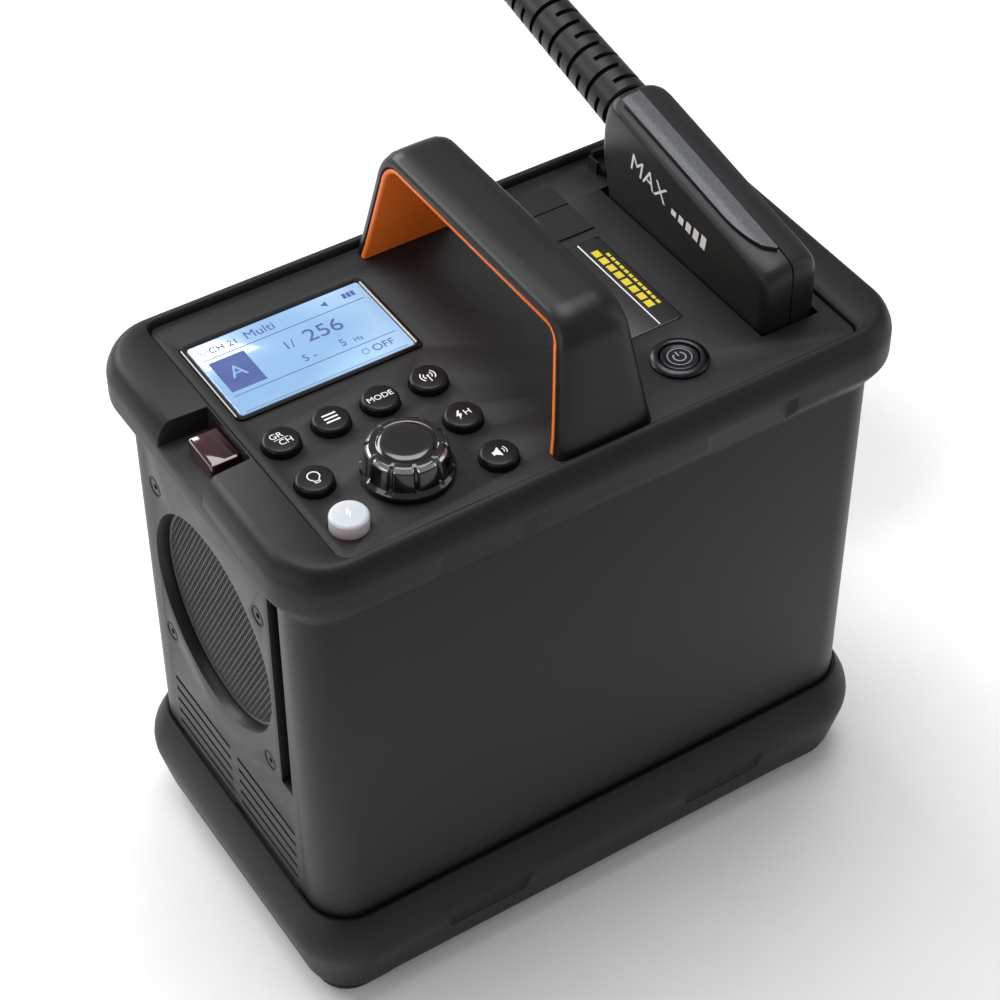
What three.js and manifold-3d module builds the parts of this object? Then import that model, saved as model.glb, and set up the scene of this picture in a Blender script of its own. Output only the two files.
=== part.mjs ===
// A battery power pack for studio flash heads: a sleeve between two bumpers, a control panel
// under a carry handle, a fan in the left end, a battery in the right end, and a head lead
// plugged into the panel. Millimetres, +Z up. The origin is on the floor under the pack's
// middle, +X runs along the long side to the battery end and -Y is the long side nearest the dial.
import * as THREE from "three";
import { mergeVertices } from "three/addons/utils/BufferGeometryUtils.js";
import Module from "manifold-3d";

const wasm = await Module();
wasm.setup();

// ---------------------------------------------------------------- driving dimensions
const GAP = 0.3; // clearance between pieces that touch
const pack = { length: 241, width: 145, rimTop: 218.5, corner: 22 };
const foot = { height: 3.5, length: 34, width: 27, corner: 12, inset: 7.5 };
const bumper = { proud: 7, upper: 27.5, lower: 38.2, chamfer: 20, recess: 2 };
const grip = { from: 33.7, length: 36.4, height: 10 }; // recesses along the bumpers
const sleeve = { wall: 2, corner: 15 };
const rim = { end: 20.5, side: 7.5, corner: 4, ledge: 2.5 };
const panel = { below: 2.5, thickness: 2.8 };
const key = { radius: 6.5, stands: 3, travel: 1, flange: 0.7 };
const keys = { fromLeft: 10.3, fromFront: 13.5, column: 18.4, row: 21.4 };
const dial = { radius: 15.5, top: 12.8, height: 12.5, stands: 1, bore: 3.3, lobes: 8, press: 0.5 };
const display = { fromLeft: 4.2, fromBack: 14.1, length: 70, depth: 42.8, frame: 1.8 };
const handle = {
  fromDisplay: 5.9,
  footHalf: 18.6,
  topHalf: 11.8,
  height: 48.4,
  lean: 11,
  bend: 13,
  shell: 4.8,
  liner: 1.9,
};
const port = { fromHandle: 11.7, fromBack: 7.6, length: 28, flap: 15.6, fixed: 11.7, sink: 1.2 };
const label = { fromHandle: 10.2, fromFront: 38.5, length: 27.7, depth: 51, thickness: 0.6 };
const power = { fromHandle: 24.1, fromFront: 21.2, radius: 10, cap: 6.6, travel: 1.5 };
const sensor = { length: 10.9, from: -5, depth: 16.5, height: 6.2, notch: 9.5 };
const fan = {
  y: 6.1,
  fromTop: 85.2,
  opening: 40.5,
  frame: 80,
  depth: 25,
  holeInset: 4.2,
  recess: 4,
};
const louvre = { rows: 6, underFan: 61.3, pitch: 5.9, height: 1.8, from: 2.8, length: 41 };
const pocket = { besideFan: 10.8, width: 7.3, underFan: 39.3, depth: 5 };
const plug = {
  clear: 5.5,
  width: 22.6,
  front: -48.8,
  back: 45.9,
  frontTop: 24.9,
  backTop: 41.1,
  sunk: 10,
  crown: 3,
};
const boot = { start: 9.8, end: 8.6, neck: 6, length: 75, pitch: 6.2, slot: 1.6, rise: 11.3 };
const lever = { x: -3.1, length: 7.3, y: 51.3, depth: 9 };
const battery = { length: 62, width: 105, aboveTray: 4.5, belowBumper: 3.5 };
const latch = { width: 30, height: 12, travel: 3 };
const capacitor = { radius: 22, height: 84, pitchX: 50, pitchY: 50, x: -15 };
const shelf = { from: -78, to: 45, over: 5, thickness: 2, leg: 1.8 };
const cable = { diameter: 11, coil: 120, turns: 5, sides: 8 };

// Where the driving dimensions put the main faces and centres.
const trayBottom = foot.height + GAP;
const trayFloor = trayBottom + 4;
const panelTop = pack.rimTop - panel.below;
const panelBottom = panelTop - panel.thickness;
const half = { x: pack.length / 2 - rim.end, y: pack.width / 2 - rim.side }; // of the panel
const outside = { x: pack.length / 2 - bumper.proud, y: pack.width / 2 - bumper.proud };
const inside = { x: outside.x - sleeve.wall, y: outside.y - sleeve.wall };
const powerBoardBottom = trayFloor + 6.3;
const powerBoard = { from: -105, to: shelf.to, half: 52, thickness: 1.6 };
const powerBoardTop = powerBoardBottom + powerBoard.thickness;
const sleeveTop = panelBottom - rim.ledge - GAP;
const boardTop = panelBottom - 8.2;
const fanFront = -outside.x + fan.recess + 1.5;
const fanZ = pack.rimTop - fan.fromTop;
const pocketFrom = fan.y - fan.frame / 2 - pocket.besideFan;
const pocketBottom = fanZ - pocket.underFan;
const shelfTop = powerBoardTop + GAP + capacitor.height + shelf.over + shelf.thickness;
const batteryBottom = trayBottom + bumper.lower + battery.aboveTray;
const batteryTop = pack.rimTop - bumper.upper - battery.belowBumper;
const handleX = -half.x + display.fromLeft + display.length + handle.fromDisplay + handle.footHalf;
const handleRight = handleX + handle.footHalf;
const dialAt = {
  x: -half.x + keys.fromLeft + 1.5 * keys.column,
  y: -half.y + keys.fromFront + keys.row / 2,
};
const powerAt = { x: handleRight + power.fromHandle, y: -half.y + power.fromFront };
const notch = { from: sensor.from - 5.8, to: sensor.from + sensor.depth + 6.6 };
const plugX = half.x - plug.clear - plug.width / 2;
const plugBottom = panelTop - plug.sunk;

// ---------------------------------------------------------------- shape helpers
function toSolid(geometry) {
  const bare = new THREE.BufferGeometry();
  bare.setAttribute("position", geometry.getAttribute("position"));
  bare.setIndex(geometry.getIndex());
  const merged = mergeVertices(bare, 1e-4);
  return new wasm.Manifold(
    new wasm.Mesh({
      numProp: 3,
      vertProperties: merged.getAttribute("position").array,
      triVerts: new Uint32Array(merged.getIndex().array),
    }),
  );
}

function toGeometry(solid) {
  const made = solid.getMesh();
  const geometry = new THREE.BufferGeometry();
  geometry.setAttribute("position", new THREE.BufferAttribute(made.vertProperties, made.numProp));
  geometry.setIndex(new THREE.BufferAttribute(made.triVerts, 1));
  geometry.computeVertexNormals();
  return geometry;
}

function join(first, ...others) {
  return others.reduce((whole, next) => whole.add(next), first);
}

function cut(body, ...tools) {
  return tools.reduce((left, tool) => left.subtract(tool), body);
}

function block(x0, x1, y0, y1, z0, z1) {
  const box = new THREE.BoxGeometry(x1 - x0, y1 - y0, z1 - z0);
  box.translate((x0 + x1) / 2, (y0 + y1) / 2, (z0 + z1) / 2);
  return toSolid(box);
}

// A round bar along Z.
function rod(radius, z0, z1, x = 0, y = 0, sides = 20) {
  const bar = new THREE.CylinderGeometry(radius, radius, z1 - z0, sides);
  bar.rotateX(Math.PI / 2);
  bar.translate(x, y, (z0 + z1) / 2);
  return toSolid(bar);
}

// A round bar along X, which may taper from radius0 at x0 to radius1 at x1.
function rodX(radius0, radius1, x0, x1, y, z, sides = 32) {
  const bar = new THREE.CylinderGeometry(radius0, radius1, x1 - x0, sides);
  bar.rotateZ(Math.PI / 2);
  bar.translate((x0 + x1) / 2, y, z);
  return toSolid(bar);
}

// A piece turned about Z: the profile runs from the axis at the bottom to the axis at the top.
function turned(profile, sides, x = 0, y = 0) {
  const points = profile.map(([radius, z]) => new THREE.Vector2(radius, z));
  const body = new THREE.LatheGeometry(points, sides);
  body.rotateX(Math.PI / 2);
  body.translate(x, y, 0);
  return toSolid(body);
}

const CORNER_STEPS = 6;

// A rounded rectangle at one height, counter-clockwise from above.
function roundedLoop(halfX, halfY, corner, z, x = 0, y = 0) {
  const loop = [];
  const centres = [
    [halfX - corner, halfY - corner],
    [corner - halfX, halfY - corner],
    [corner - halfX, corner - halfY],
    [halfX - corner, corner - halfY],
  ];
  centres.forEach(([cx, cy], quarter) => {
    for (let i = 0; i <= CORNER_STEPS; i++) {
      const angle = ((quarter + i / CORNER_STEPS) * Math.PI) / 2;
      loop.push(
        new THREE.Vector3(
          x + cx + corner * Math.cos(angle),
          y + cy + corner * Math.sin(angle),
          z,
        ),
      );
    }
  });
  return loop;
}

// Skins a row of outlines that have the same number of points. A closed row runs back to its
// first outline, as a ring does, and an open one is capped at both ends.
function loft(loops, closed = false) {
  const count = loops[0].length;
  const index = [];
  const bands = closed ? loops.length : loops.length - 1;
  for (let band = 0; band < bands; band++) {
    const low = band * count;
    const high = ((band + 1) % loops.length) * count;
    for (let i = 0; i < count; i++) {
      const next = (i + 1) % count;
      index.push(low + i, low + next, high + next);
      index.push(low + i, high + next, high + i);
    }
  }
  if (!closed) {
    const last = (loops.length - 1) * count;
    for (let i = 1; i < count - 1; i++) {
      index.push(0, i + 1, i);
      index.push(last, last + i, last + i + 1);
    }
  }
  const positions = loops.flat().flatMap((point) => point.toArray());
  const skin = new THREE.BufferGeometry();
  skin.setAttribute("position", new THREE.Float32BufferAttribute(positions, 3));
  skin.setIndex(index);
  return toSolid(skin);
}

function roundedPlate(halfX, halfY, corner, z0, z1, x = 0, y = 0) {
  return loft([
    roundedLoop(halfX, halfY, corner, z0, x, y),
    roundedLoop(halfX, halfY, corner, z1, x, y),
  ]);
}

// A bumper outline that lies some way inside the pack's outer wall.
function bumperLoop(inset, z) {
  return roundedLoop(
    pack.length / 2 - inset,
    pack.width / 2 - inset,
    Math.max(pack.corner - inset, 2),
    z,
  );
}

// ---------------------------------------------------------------- materials and the tree
function finish(color, roughness, metalness = 0) {
  return new THREE.MeshStandardMaterial({ color, roughness, metalness });
}

const black = finish(0x2a2a2c, 0.6);
const darkGrey = finish(0x3a3b3e, 0.55);
const sleeveGrey = finish(0x46474a, 0.5);
const orange = finish(0xf0701c, 0.45);
const white = finish(0xe8e8ea, 0.4);
const screen = finish(0x9db8cf, 0.2);
const red = finish(0x3a0810, 0.15);
const steel = finish(0x9a9b9e, 0.3, 1);
const satin = finish(0x8c8d90, 0.35, 0.6);
const board = finish(0x1f5a38, 0.6);
const can = finish(0x202c4a, 0.4);

const root = new THREE.Group();

function piece(name, solid, material, parent = root) {
  const mesh = new THREE.Mesh(toGeometry(solid), material);
  mesh.name = name;
  parent.add(mesh);
}

// ---------------------------------------------------------------- bumpers, feet and sleeve
function gripRecesses(z0, z1) {
  const tools = [];
  for (const side of [-1, 1]) {
    for (const end of [-1, 1]) {
      const near = end * grip.from;
      const far = end * (grip.from + grip.length);
      const wall = (side * pack.width) / 2;
      const floor = wall - side * bumper.recess;
      const out = wall + side * 5;
      tools.push(
        block(
          Math.min(near, far),
          Math.max(near, far),
          Math.min(floor, out),
          Math.max(floor, out),
          z0,
          z1,
        ),
      );
    }
  }
  return tools;
}

function topBumper() {
  const seat = bumper.proud - GAP;
  const bottom = pack.rimTop - bumper.upper;
  const wallLow = bottom + 9;
  const rimLoop = (grow, corner, z) => roundedLoop(half.x + grow, half.y + grow, corner, z);
  const ring = loft(
    [
      bumperLoop(seat, bottom),
      bumperLoop(0.4, wallLow),
      bumperLoop(0, wallLow + 3),
      bumperLoop(0, pack.rimTop - 8.5),
      bumperLoop(1.4, pack.rimTop - 3.5),
      bumperLoop(3, pack.rimTop - 1.2),
      bumperLoop(5, pack.rimTop),
      rimLoop(GAP + 1.2, rim.corner + 1.2, pack.rimTop),
      rimLoop(GAP, rim.corner, pack.rimTop - 0.8),
      rimLoop(GAP, rim.corner, panelBottom - GAP),
      rimLoop(-rim.ledge, rim.corner - 1, panelBottom - GAP),
      rimLoop(-rim.ledge, rim.corner - 1, panelBottom - rim.ledge),
      bumperLoop(seat, panelBottom - rim.ledge),
    ],
    true,
  );
  const floor = pack.rimTop - sensor.notch;
  const cup = block(
    -outside.x - 0.4,
    -half.x + 1,
    notch.from - 2,
    notch.to + 2,
    floor - 1.5,
    panelBottom - rim.ledge + 0.2,
  );
  const opening = block(
    -pack.length,
    -half.x - 2,
    notch.from,
    notch.to,
    floor,
    pack.rimTop + 5,
  );
  const recesses = gripRecesses(wallLow - 3, wallLow - 3 + grip.height);
  return cut(join(ring, cup), opening, ...recesses);
}

function bottomTray() {
  const seat = bumper.proud - GAP;
  const top = trayBottom + bumper.lower;
  const inner = (z) => bumperLoop(seat, z);
  const shell = loft([
    bumperLoop(6.3, trayBottom),
    bumperLoop(5, trayBottom + 1),
    bumperLoop(0.3, trayBottom + bumper.chamfer),
    bumperLoop(0, trayBottom + bumper.chamfer + 3),
    bumperLoop(0, top - 14),
    bumperLoop(2, top - 6),
    bumperLoop(seat - 1.5, top),
    inner(top),
    inner(trayFloor),
  ]);
  const postTop = powerBoardBottom - GAP;
  const posts = boardPosts().map(([x, y]) => rod(4, trayFloor - 1, postTop, x, y, 12));
  const low = trayBottom + bumper.chamfer - 6;
  return join(cut(shell, ...gripRecesses(low, low + grip.height)), ...posts);
}

function feet() {
  const x = pack.length / 2 - foot.inset - foot.length / 2;
  const y = pack.width / 2 - foot.inset - foot.width / 2;
  const places = {
    front_left: [-x, -y],
    front_right: [x, -y],
    back_left: [-x, y],
    back_right: [x, y],
  };
  for (const [place, [fx, fy]] of Object.entries(places)) {
    const pad = loft([
      roundedLoop(foot.length / 2 - 0.8, foot.width / 2 - 0.8, foot.corner - 0.8, 0, fx, fy),
      roundedLoop(foot.length / 2, foot.width / 2, foot.corner, 0.8, fx, fy),
      roundedLoop(foot.length / 2, foot.width / 2, foot.corner, foot.height, fx, fy),
    ]);
    piece("foot_" + place, pad, black);
  }
}

function bodySleeve() {
  const bottom = trayFloor + GAP;
  const outer = (z) => roundedLoop(outside.x, outside.y, sleeve.corner, z);
  const inner = (z) => roundedLoop(inside.x, inside.y, sleeve.corner - sleeve.wall, z);
  const tube = loft([outer(bottom), outer(sleeveTop), inner(sleeveTop), inner(bottom)], true);
  const face = -outside.x;
  const behind = -inside.x - 0.5;
  const ringBoss = rodX(fan.opening + 3.5, fan.opening + 3.5, behind, face + fan.recess, fan.y, fanZ);
  const screwBosses = screwPlaces().map(([y, z]) => rodX(4.5, 4.5, behind, fanFront - GAP, y, z, 14));
  const pocketWall = block(
    behind,
    face + pocket.depth + sleeve.wall,
    pocketFrom - 2.5,
    pocketFrom + pocket.width + 2.5,
    pocketBottom - 2.5,
    sleeveTop,
  );
  const opening = rodX(
    fan.opening,
    fan.opening - 1.5,
    face - 1,
    face + fan.recess + 1,
    fan.y,
    fanZ,
  );
  const pocketCut = block(
    face - 1,
    face + pocket.depth,
    pocketFrom,
    pocketFrom + pocket.width,
    pocketBottom,
    sleeveTop + 1,
  );
  const sensorCut = block(
    face - 1,
    -inside.x + 1,
    notch.from - 2 - GAP,
    notch.to + 2 + GAP,
    pack.rimTop - sensor.notch - 1.5 - GAP,
    sleeveTop + 1,
  );
  const slots = [];
  for (let row = 0; row < louvre.rows; row++) {
    const z0 = fanZ - louvre.underFan - row * louvre.pitch - louvre.height / 2;
    for (const y0 of [-louvre.from - louvre.length, louvre.from]) {
      slots.push(
        block(face - 1, -inside.x + 1, y0, y0 + louvre.length, z0, z0 + louvre.height),
      );
    }
  }
  const holes = screwPlaces().flatMap(([y, z]) => [
    rodX(1.9, 1.9, face - 1, fanFront + 1, y, z, 12),
    rodX(4.4, 1.9, face - 0.8, face + 1.7, y, z, 14),
  ]);
  const bay = block(
    inside.x - 1,
    outside.x + 1,
    -battery.width / 2 - GAP,
    battery.width / 2 + GAP,
    batteryBottom - GAP,
    batteryTop + GAP,
  );
  const whole = join(tube, ringBoss, pocketWall, ...screwBosses);
  return cut(whole, opening, pocketCut, sensorCut, ...slots, ...holes, bay);
}

// ---------------------------------------------------------------- fan
function screwPlaces() {
  const out = fan.frame / 2 - fan.holeInset;
  return [
    [fan.y - out, fanZ - out],
    [fan.y + out, fanZ - out],
    [fan.y - out, fanZ + out],
    [fan.y + out, fanZ + out],
  ];
}

function fanFrame() {
  const out = fan.frame / 2;
  const back = fanFront + fan.depth;
  const box = block(fanFront, back, fan.y - out, fan.y + out, fanZ - out, fanZ + out);
  const bore = rodX(fan.opening - 2.2, fan.opening - 2.2, fanFront - 1, back + 1, fan.y, fanZ);
  const far = fanFront + 12;
  const holes = screwPlaces().map(([y, z]) => rodX(1.9, 1.9, fanFront - 1, far, y, z, 12));
  const struts = [0, 1].map((turn) => {
    const strut = block(back - 2.5, back, -out + 1, out - 1, -2, 2);
    return strut.rotate([45 + 90 * turn, 0, 0]).translate([0, fan.y, fanZ]);
  });
  const motorPlate = rodX(16, 16, back - 2.5, back, fan.y, fanZ, 20);
  const axle = rodX(1.4, 1.4, fanFront + 6, back - 1, fan.y, fanZ, 10);
  return join(cut(box, bore, ...holes), ...struts, motorPlate, axle);
}

function fanRotor() {
  const front = fanFront + 2;
  const back = fanFront + fan.depth - 2.5 - 0.8;
  const hub = rodX(15, 15, front, back, fan.y, fanZ, 20);
  const bore = rodX(1.7, 1.7, fanFront + 5.7, back + 1, fan.y, fanZ, 10);
  const tip = fan.opening - 2.2 - 1.5;
  const blades = [];
  for (let i = 0; i < 7; i++) {
    const blade = block(-0.8, 0.8, -9, 9, 13, tip)
      .rotate([0, 0, 62])
      .rotate([(360 / 7) * i, 0, 0])
      .translate([(front + back) / 2, fan.y, fanZ]);
    blades.push(blade);
  }
  return cut(join(hub, ...blades), bore);
}

function fanScrew(y, z) {
  const face = -outside.x + 0.2;
  const head = rodX(3.2, 1.6, face, face + 1.5, y, z, 14);
  const shank = rodX(1.6, 1.6, face + 0.5, fanFront + 10, y, z, 14);
  const slot = block(face - 1, face + 0.7, y - 2, y + 2, z - 0.4, z + 0.4);
  return cut(join(head, shank), slot);
}

// ---------------------------------------------------------------- panel and what stands on it
const ports = {
  left: handleRight + port.fromHandle,
  back: half.y - port.fromBack,
};
const flapBack = ports.back - port.fixed - GAP * 2;
const labelAt = { x: handleRight + label.fromHandle, y: -half.y + label.fromFront };
const screenAt = {
  x: -half.x + display.fromLeft + display.length / 2,
  y: half.y - display.fromBack - display.depth / 2,
};
const leverPivot = { y: lever.y + 5.7, z: panelTop + 2.4 };

function keyPlaces() {
  const at = (column, row) => [
    -half.x + keys.fromLeft + column * keys.column,
    -half.y + keys.fromFront + row * keys.row,
  ];
  return {
    key_group: at(0, 2),
    key_menu: at(1, 2),
    key_mode: at(2, 2),
    key_wireless: at(3, 2),
    key_sync: at(3, 1),
    key_sound: at(3, 0),
    key_lamp: at(0, 1),
    key_test: at(0, 0),
  };
}

// Two ears hold the pin of the plug's lock lever.
function leverEars() {
  const x = plugX + lever.x;
  const { y, z } = leverPivot;
  return [x - lever.length / 2 - GAP - 1.2, x + lever.length / 2 + GAP].map((x0) => {
    const plate = block(x0, x0 + 1.2, y - 2.8, y + 2.8, panelTop - 1, z + 2.6);
    return cut(plate, rodX(1 + GAP, 1 + GAP, x0 - 1, x0 + 3, y, z, 12));
  });
}

function topPanel() {
  const plate = roundedPlate(half.x, half.y, rim.corner, panelBottom, panelTop);
  const posts = controlPosts().map(([x, y]) => rod(3, boardTop + GAP, panelBottom + 1, x, y, 12));
  const displayHole = roundedPlate(
    display.length / 2 + GAP,
    display.depth / 2 + GAP,
    2.5,
    panelBottom - 1,
    panelTop + 1,
    screenAt.x,
    screenAt.y,
  );
  const keyHoles = Object.values(keyPlaces()).map(([x, y]) =>
    rod(key.radius + GAP, panelBottom - 1, panelTop + 1, x, y, 20),
  );
  const shaftHole = rod(dial.bore + 1, panelBottom - 1, panelTop + 1, dialAt.x, dialAt.y, 16);
  const powerHole = rod(
    power.radius - 1.2,
    panelBottom - 1,
    panelTop + 1,
    powerAt.x,
    powerAt.y,
    24,
  );
  const well = block(
    plugX - plug.width / 2 - 0.6,
    plugX + plug.width / 2 + 0.6,
    plug.front - 0.7,
    plug.back + 0.7,
    panelBottom - 1,
    panelTop + 1,
  );
  const portSink = block(
    ports.left - GAP,
    ports.left + port.length + GAP,
    flapBack - port.flap - GAP,
    ports.back + GAP,
    panelTop - port.sink,
    panelTop + 1,
  );
  const portHole = block(
    ports.left + 2,
    ports.left + port.length - 2,
    flapBack - port.flap + 2,
    flapBack - 1,
    panelBottom - 1,
    panelTop + 1,
  );
  const labelSink = block(
    labelAt.x - GAP,
    labelAt.x + label.length + GAP,
    labelAt.y - GAP,
    labelAt.y + label.depth + GAP,
    panelTop - label.thickness,
    panelTop + 1,
  );
  const holes = [displayHole, ...keyHoles, shaftHole, powerHole, well];
  return join(cut(plate, ...holes, portSink, portHole, labelSink), ...posts, ...leverEars());
}

function keyCap(x, y, height) {
  const stem = boardTop + key.travel + 0.4;
  const flangeTop = panelBottom - GAP;
  const top = panelTop + height;
  return turned(
    [
      [0, stem],
      [2.2, stem],
      [2.2, flangeTop - 1.4],
      [key.radius + key.flange, flangeTop - 1.4],
      [key.radius + key.flange, flangeTop],
      [key.radius, flangeTop],
      [key.radius, top - 0.9],
      [key.radius - 0.9, top],
      [0, top],
    ],
    14,
    x,
    y,
  );
}

// A knob outline with shallow finger flutes.
function dialLoop(radius, depth, z) {
  const sides = dial.lobes * 6;
  const loop = [];
  for (let i = 0; i < sides; i++) {
    const angle = (i / sides) * Math.PI * 2;
    const reach = radius - depth * (0.5 + 0.5 * Math.cos(angle * dial.lobes));
    loop.push(
      new THREE.Vector3(dialAt.x + reach * Math.cos(angle), dialAt.y + reach * Math.sin(angle), z),
    );
  }
  return loop;
}

function dialKnob() {
  const bottom = panelTop + dial.stands;
  const top = bottom + dial.height;
  const body = loft([
    dialLoop(dial.radius - 0.6, 0, bottom),
    dialLoop(dial.radius, 0, bottom + 1),
    dialLoop(dial.radius - 0.9, 0.9, bottom + 5),
    dialLoop(dial.top, 0.5, top - 2),
    dialLoop(dial.top - 3.6, 0, top - 0.8),
    dialLoop(dial.top - 8, 0, top),
  ]);
  return cut(body, rod(dial.bore, bottom - 1, top - 2.5, dialAt.x, dialAt.y, 16));
}

function powerBezel() {
  return turned(
    [
      [0, panelTop - 20],
      [power.radius - 1.5, panelTop - 20],
      [power.radius - 1.5, panelTop + GAP],
      [power.radius, panelTop + GAP],
      [power.radius, panelTop + 1.1],
      [power.radius - 1.6, panelTop + 2],
      [power.cap + GAP, panelTop + 2],
      [power.cap + GAP, panelTop - 12],
      [0, panelTop - 12],
    ],
    28,
    powerAt.x,
    powerAt.y,
  );
}

function portFlap() {
  const top = panelTop + 0.5;
  const bottom = panelTop - port.sink + GAP;
  return block(ports.left, ports.left + port.length, flapBack - port.flap, flapBack, bottom, top);
}

function portFixed() {
  const front = ports.back - port.fixed;
  const bottom = panelTop - port.sink + GAP;
  return block(ports.left, ports.left + port.length, front, ports.back, bottom, panelTop + 0.5);
}

function portBlock() {
  const top = panelBottom - GAP;
  const y0 = flapBack - port.flap - 1;
  const body = block(ports.left + 1, ports.left + port.length - 1, y0, flapBack + 1, top - 12, top);
  const usb = block(ports.left + 4, ports.left + 16.5, y0 + 4.8, y0 + 10.2, top - 8, top + 1);
  const jack = rod(1.9, top - 9, top + 1, ports.left + port.length - 6.5, y0 + 7.5, 12);
  return cut(body, usb, jack);
}

// ---------------------------------------------------------------- carry handle
// Stations along the handle's outer face, from the front foot to the back one: where the face
// is, and which way it looks. The legs lean in, and a bend of one radius joins each to the top.
function handleStations(sink) {
  const lean = THREE.MathUtils.degToRad(handle.lean);
  const top = panelTop + handle.height;
  const rise = handle.height - handle.bend + handle.bend * Math.sin(lean);
  const legLength = rise / Math.cos(lean);
  const centreY = half.y - legLength * Math.sin(lean) - handle.bend * Math.cos(lean);
  const front = [];
  for (const along of [-sink, 0, legLength * 0.5, legLength * 0.85]) {
    front.push({
      y: -half.y + along * Math.sin(lean),
      z: panelTop + along * Math.cos(lean),
      angle: Math.PI - lean,
    });
  }
  const steps = 6;
  for (let i = 0; i <= steps; i++) {
    const angle = Math.PI - lean - (i / steps) * (Math.PI / 2 - lean);
    front.push({
      y: -centreY + handle.bend * Math.cos(angle),
      z: top - handle.bend + handle.bend * Math.sin(angle),
      angle,
    });
  }
  front.push({ y: -centreY * 0.5, z: top, angle: Math.PI / 2 });
  const back = front.map(({ y, z, angle }) => ({ y: -y, z, angle: Math.PI - angle })).reverse();
  return [...front, { y: 0, z: top, angle: Math.PI / 2 }, ...back];
}

// The handle is widest at its feet and narrows towards the top.
function handleHalf(z) {
  const up = THREE.MathUtils.clamp((z - panelTop) / handle.height, 0, 1);
  return handle.footHalf + (handle.topHalf - handle.footHalf) * up ** 0.9;
}

// A strap along the handle: its section is a row of [share of the half width, depth] points.
function handleStrap(section) {
  const loops = handleStations(14).map(({ y, z, angle }) => {
    const width = handleHalf(z);
    return section.map(
      ([share, depth]) =>
        new THREE.Vector3(
          handleX + share * width,
          y - depth * Math.cos(angle),
          z - depth * Math.sin(angle),
        ),
    );
  });
  const below = block(-pack.length, pack.length, -pack.width, pack.width, 0, panelTop + GAP);
  return cut(loft(loops.reverse()), below);
}

function handleShell() {
  return handleStrap([
    [0, 0],
    [-0.5, 0.3],
    [-0.86, 1],
    [-1, 2.4],
    [-1, handle.shell],
    [1, handle.shell],
    [1, 2.4],
    [0.86, 1],
    [0.5, 0.3],
  ]);
}

function handleLiner() {
  const near = handle.shell + GAP;
  return handleStrap([
    [-0.99, near],
    [-0.99, near + handle.liner - 0.6],
    [-0.95, near + handle.liner],
    [0.95, near + handle.liner],
    [0.99, near + handle.liner - 0.6],
    [0.99, near],
  ]);
}

// ---------------------------------------------------------------- plug, socket and boot
// The plug's side outline, drawn in from its edge by some amount and lowered by a crown.
function plugOutline(inset, drop) {
  const foot0 = plugBottom + GAP;
  const front = plug.front + inset;
  const back = plug.back - inset;
  const topFront = panelTop + plug.frontTop - drop;
  const topBack = panelTop + plug.backTop - drop;
  return [
    [front, foot0],
    [back - 1.5, foot0],
    [back - 1.5, panelTop],
    [back + 2.8, panelTop + 16],
    [back + 2.4, panelTop + 28],
    [back + 0.6, topBack - 2.5],
    [back - 2.5, topBack],
    [front + 5, topFront + 0.9],
    [front + 1.4, topFront - 0.6],
    [front, topFront - 4],
  ];
}

// Half of the plug, from its seam out to one side, made of slices that round off its edges.
function plugShell(side) {
  const reach = plug.width / 2;
  const slices = [
    [GAP / 2, 0, 0],
    [reach * 0.5, 0, 0.5],
    [reach - 2.6, 0.4, plug.crown * 0.55],
    [reach - 0.7, 1.8, plug.crown * 0.8],
    [reach, 3.8, plug.crown + 1],
  ];
  const loops = slices.map(([out, inset, drop]) =>
    plugOutline(inset, drop).map(([y, z]) => new THREE.Vector3(plugX + side * out, y, z)),
  );
  const bore = alongBoot(rod(boot.neck + GAP, -8 - GAP, 12, 0, 0, 16));
  return cut(loft(side > 0 ? loops : loops.reverse()), bore);
}

function plugInlay() {
  const reach = plug.width / 2;
  const slope = (plug.backTop - plug.frontTop) / (plug.back - plug.front - 7.5);
  const topAt = (y) => panelTop + plug.frontTop + 0.9 + slope * (y - plug.front - 5);
  const rows = [plug.front + 8, plug.front + 14, 0, plug.back - 6];
  const loops = rows.map((y, row) => {
    const out = row === 0 ? reach - 6 : reach - 2.9;
    const up = topAt(y) + GAP + 0.15;
    return [
      new THREE.Vector3(plugX - 1, y, up + 1.1),
      new THREE.Vector3(plugX - 1, y, up),
      new THREE.Vector3(plugX - reach * 0.5, y, up),
      new THREE.Vector3(plugX - out, y, up - 0.9),
      new THREE.Vector3(plugX - out, y, up - 0.1),
      new THREE.Vector3(plugX - reach * 0.5, y, up + 0.8),
    ];
  });
  return loft(loops);
}

const bootTilt = THREE.MathUtils.degToRad(boot.rise);
const bootFrom = new THREE.Vector3(plugX, plug.back + 2.9, panelTop + 30.3);
const bootWay = new THREE.Vector3(0, Math.cos(bootTilt), Math.sin(bootTilt));
const bootEnd = bootFrom.clone().addScaledVector(bootWay, boot.length);

// Turns a piece made along +Z so that it lies along the boot.
function alongBoot(solid) {
  return solid.rotate([boot.rise - 90, 0, 0]).translate(bootFrom.toArray());
}

function plugBoot() {
  const profile = [[0, -8], [boot.neck, -8], [boot.neck, 0], [boot.start, 0]];
  const rings = Math.floor(boot.length / boot.pitch) - 1;
  for (let ring = 0; ring < rings; ring++) {
    const z = 4 + ring * boot.pitch;
    const radius = boot.start + ((boot.end - boot.start) * z) / boot.length;
    const top = z + boot.slot;
    profile.push([radius, z], [radius - 1.6, z], [radius - 1.6, top], [radius, top]);
  }
  profile.push([boot.end, boot.length - 1], [boot.end - 1, boot.length], [0, boot.length]);
  return alongBoot(turned(profile, 12));
}

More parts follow.
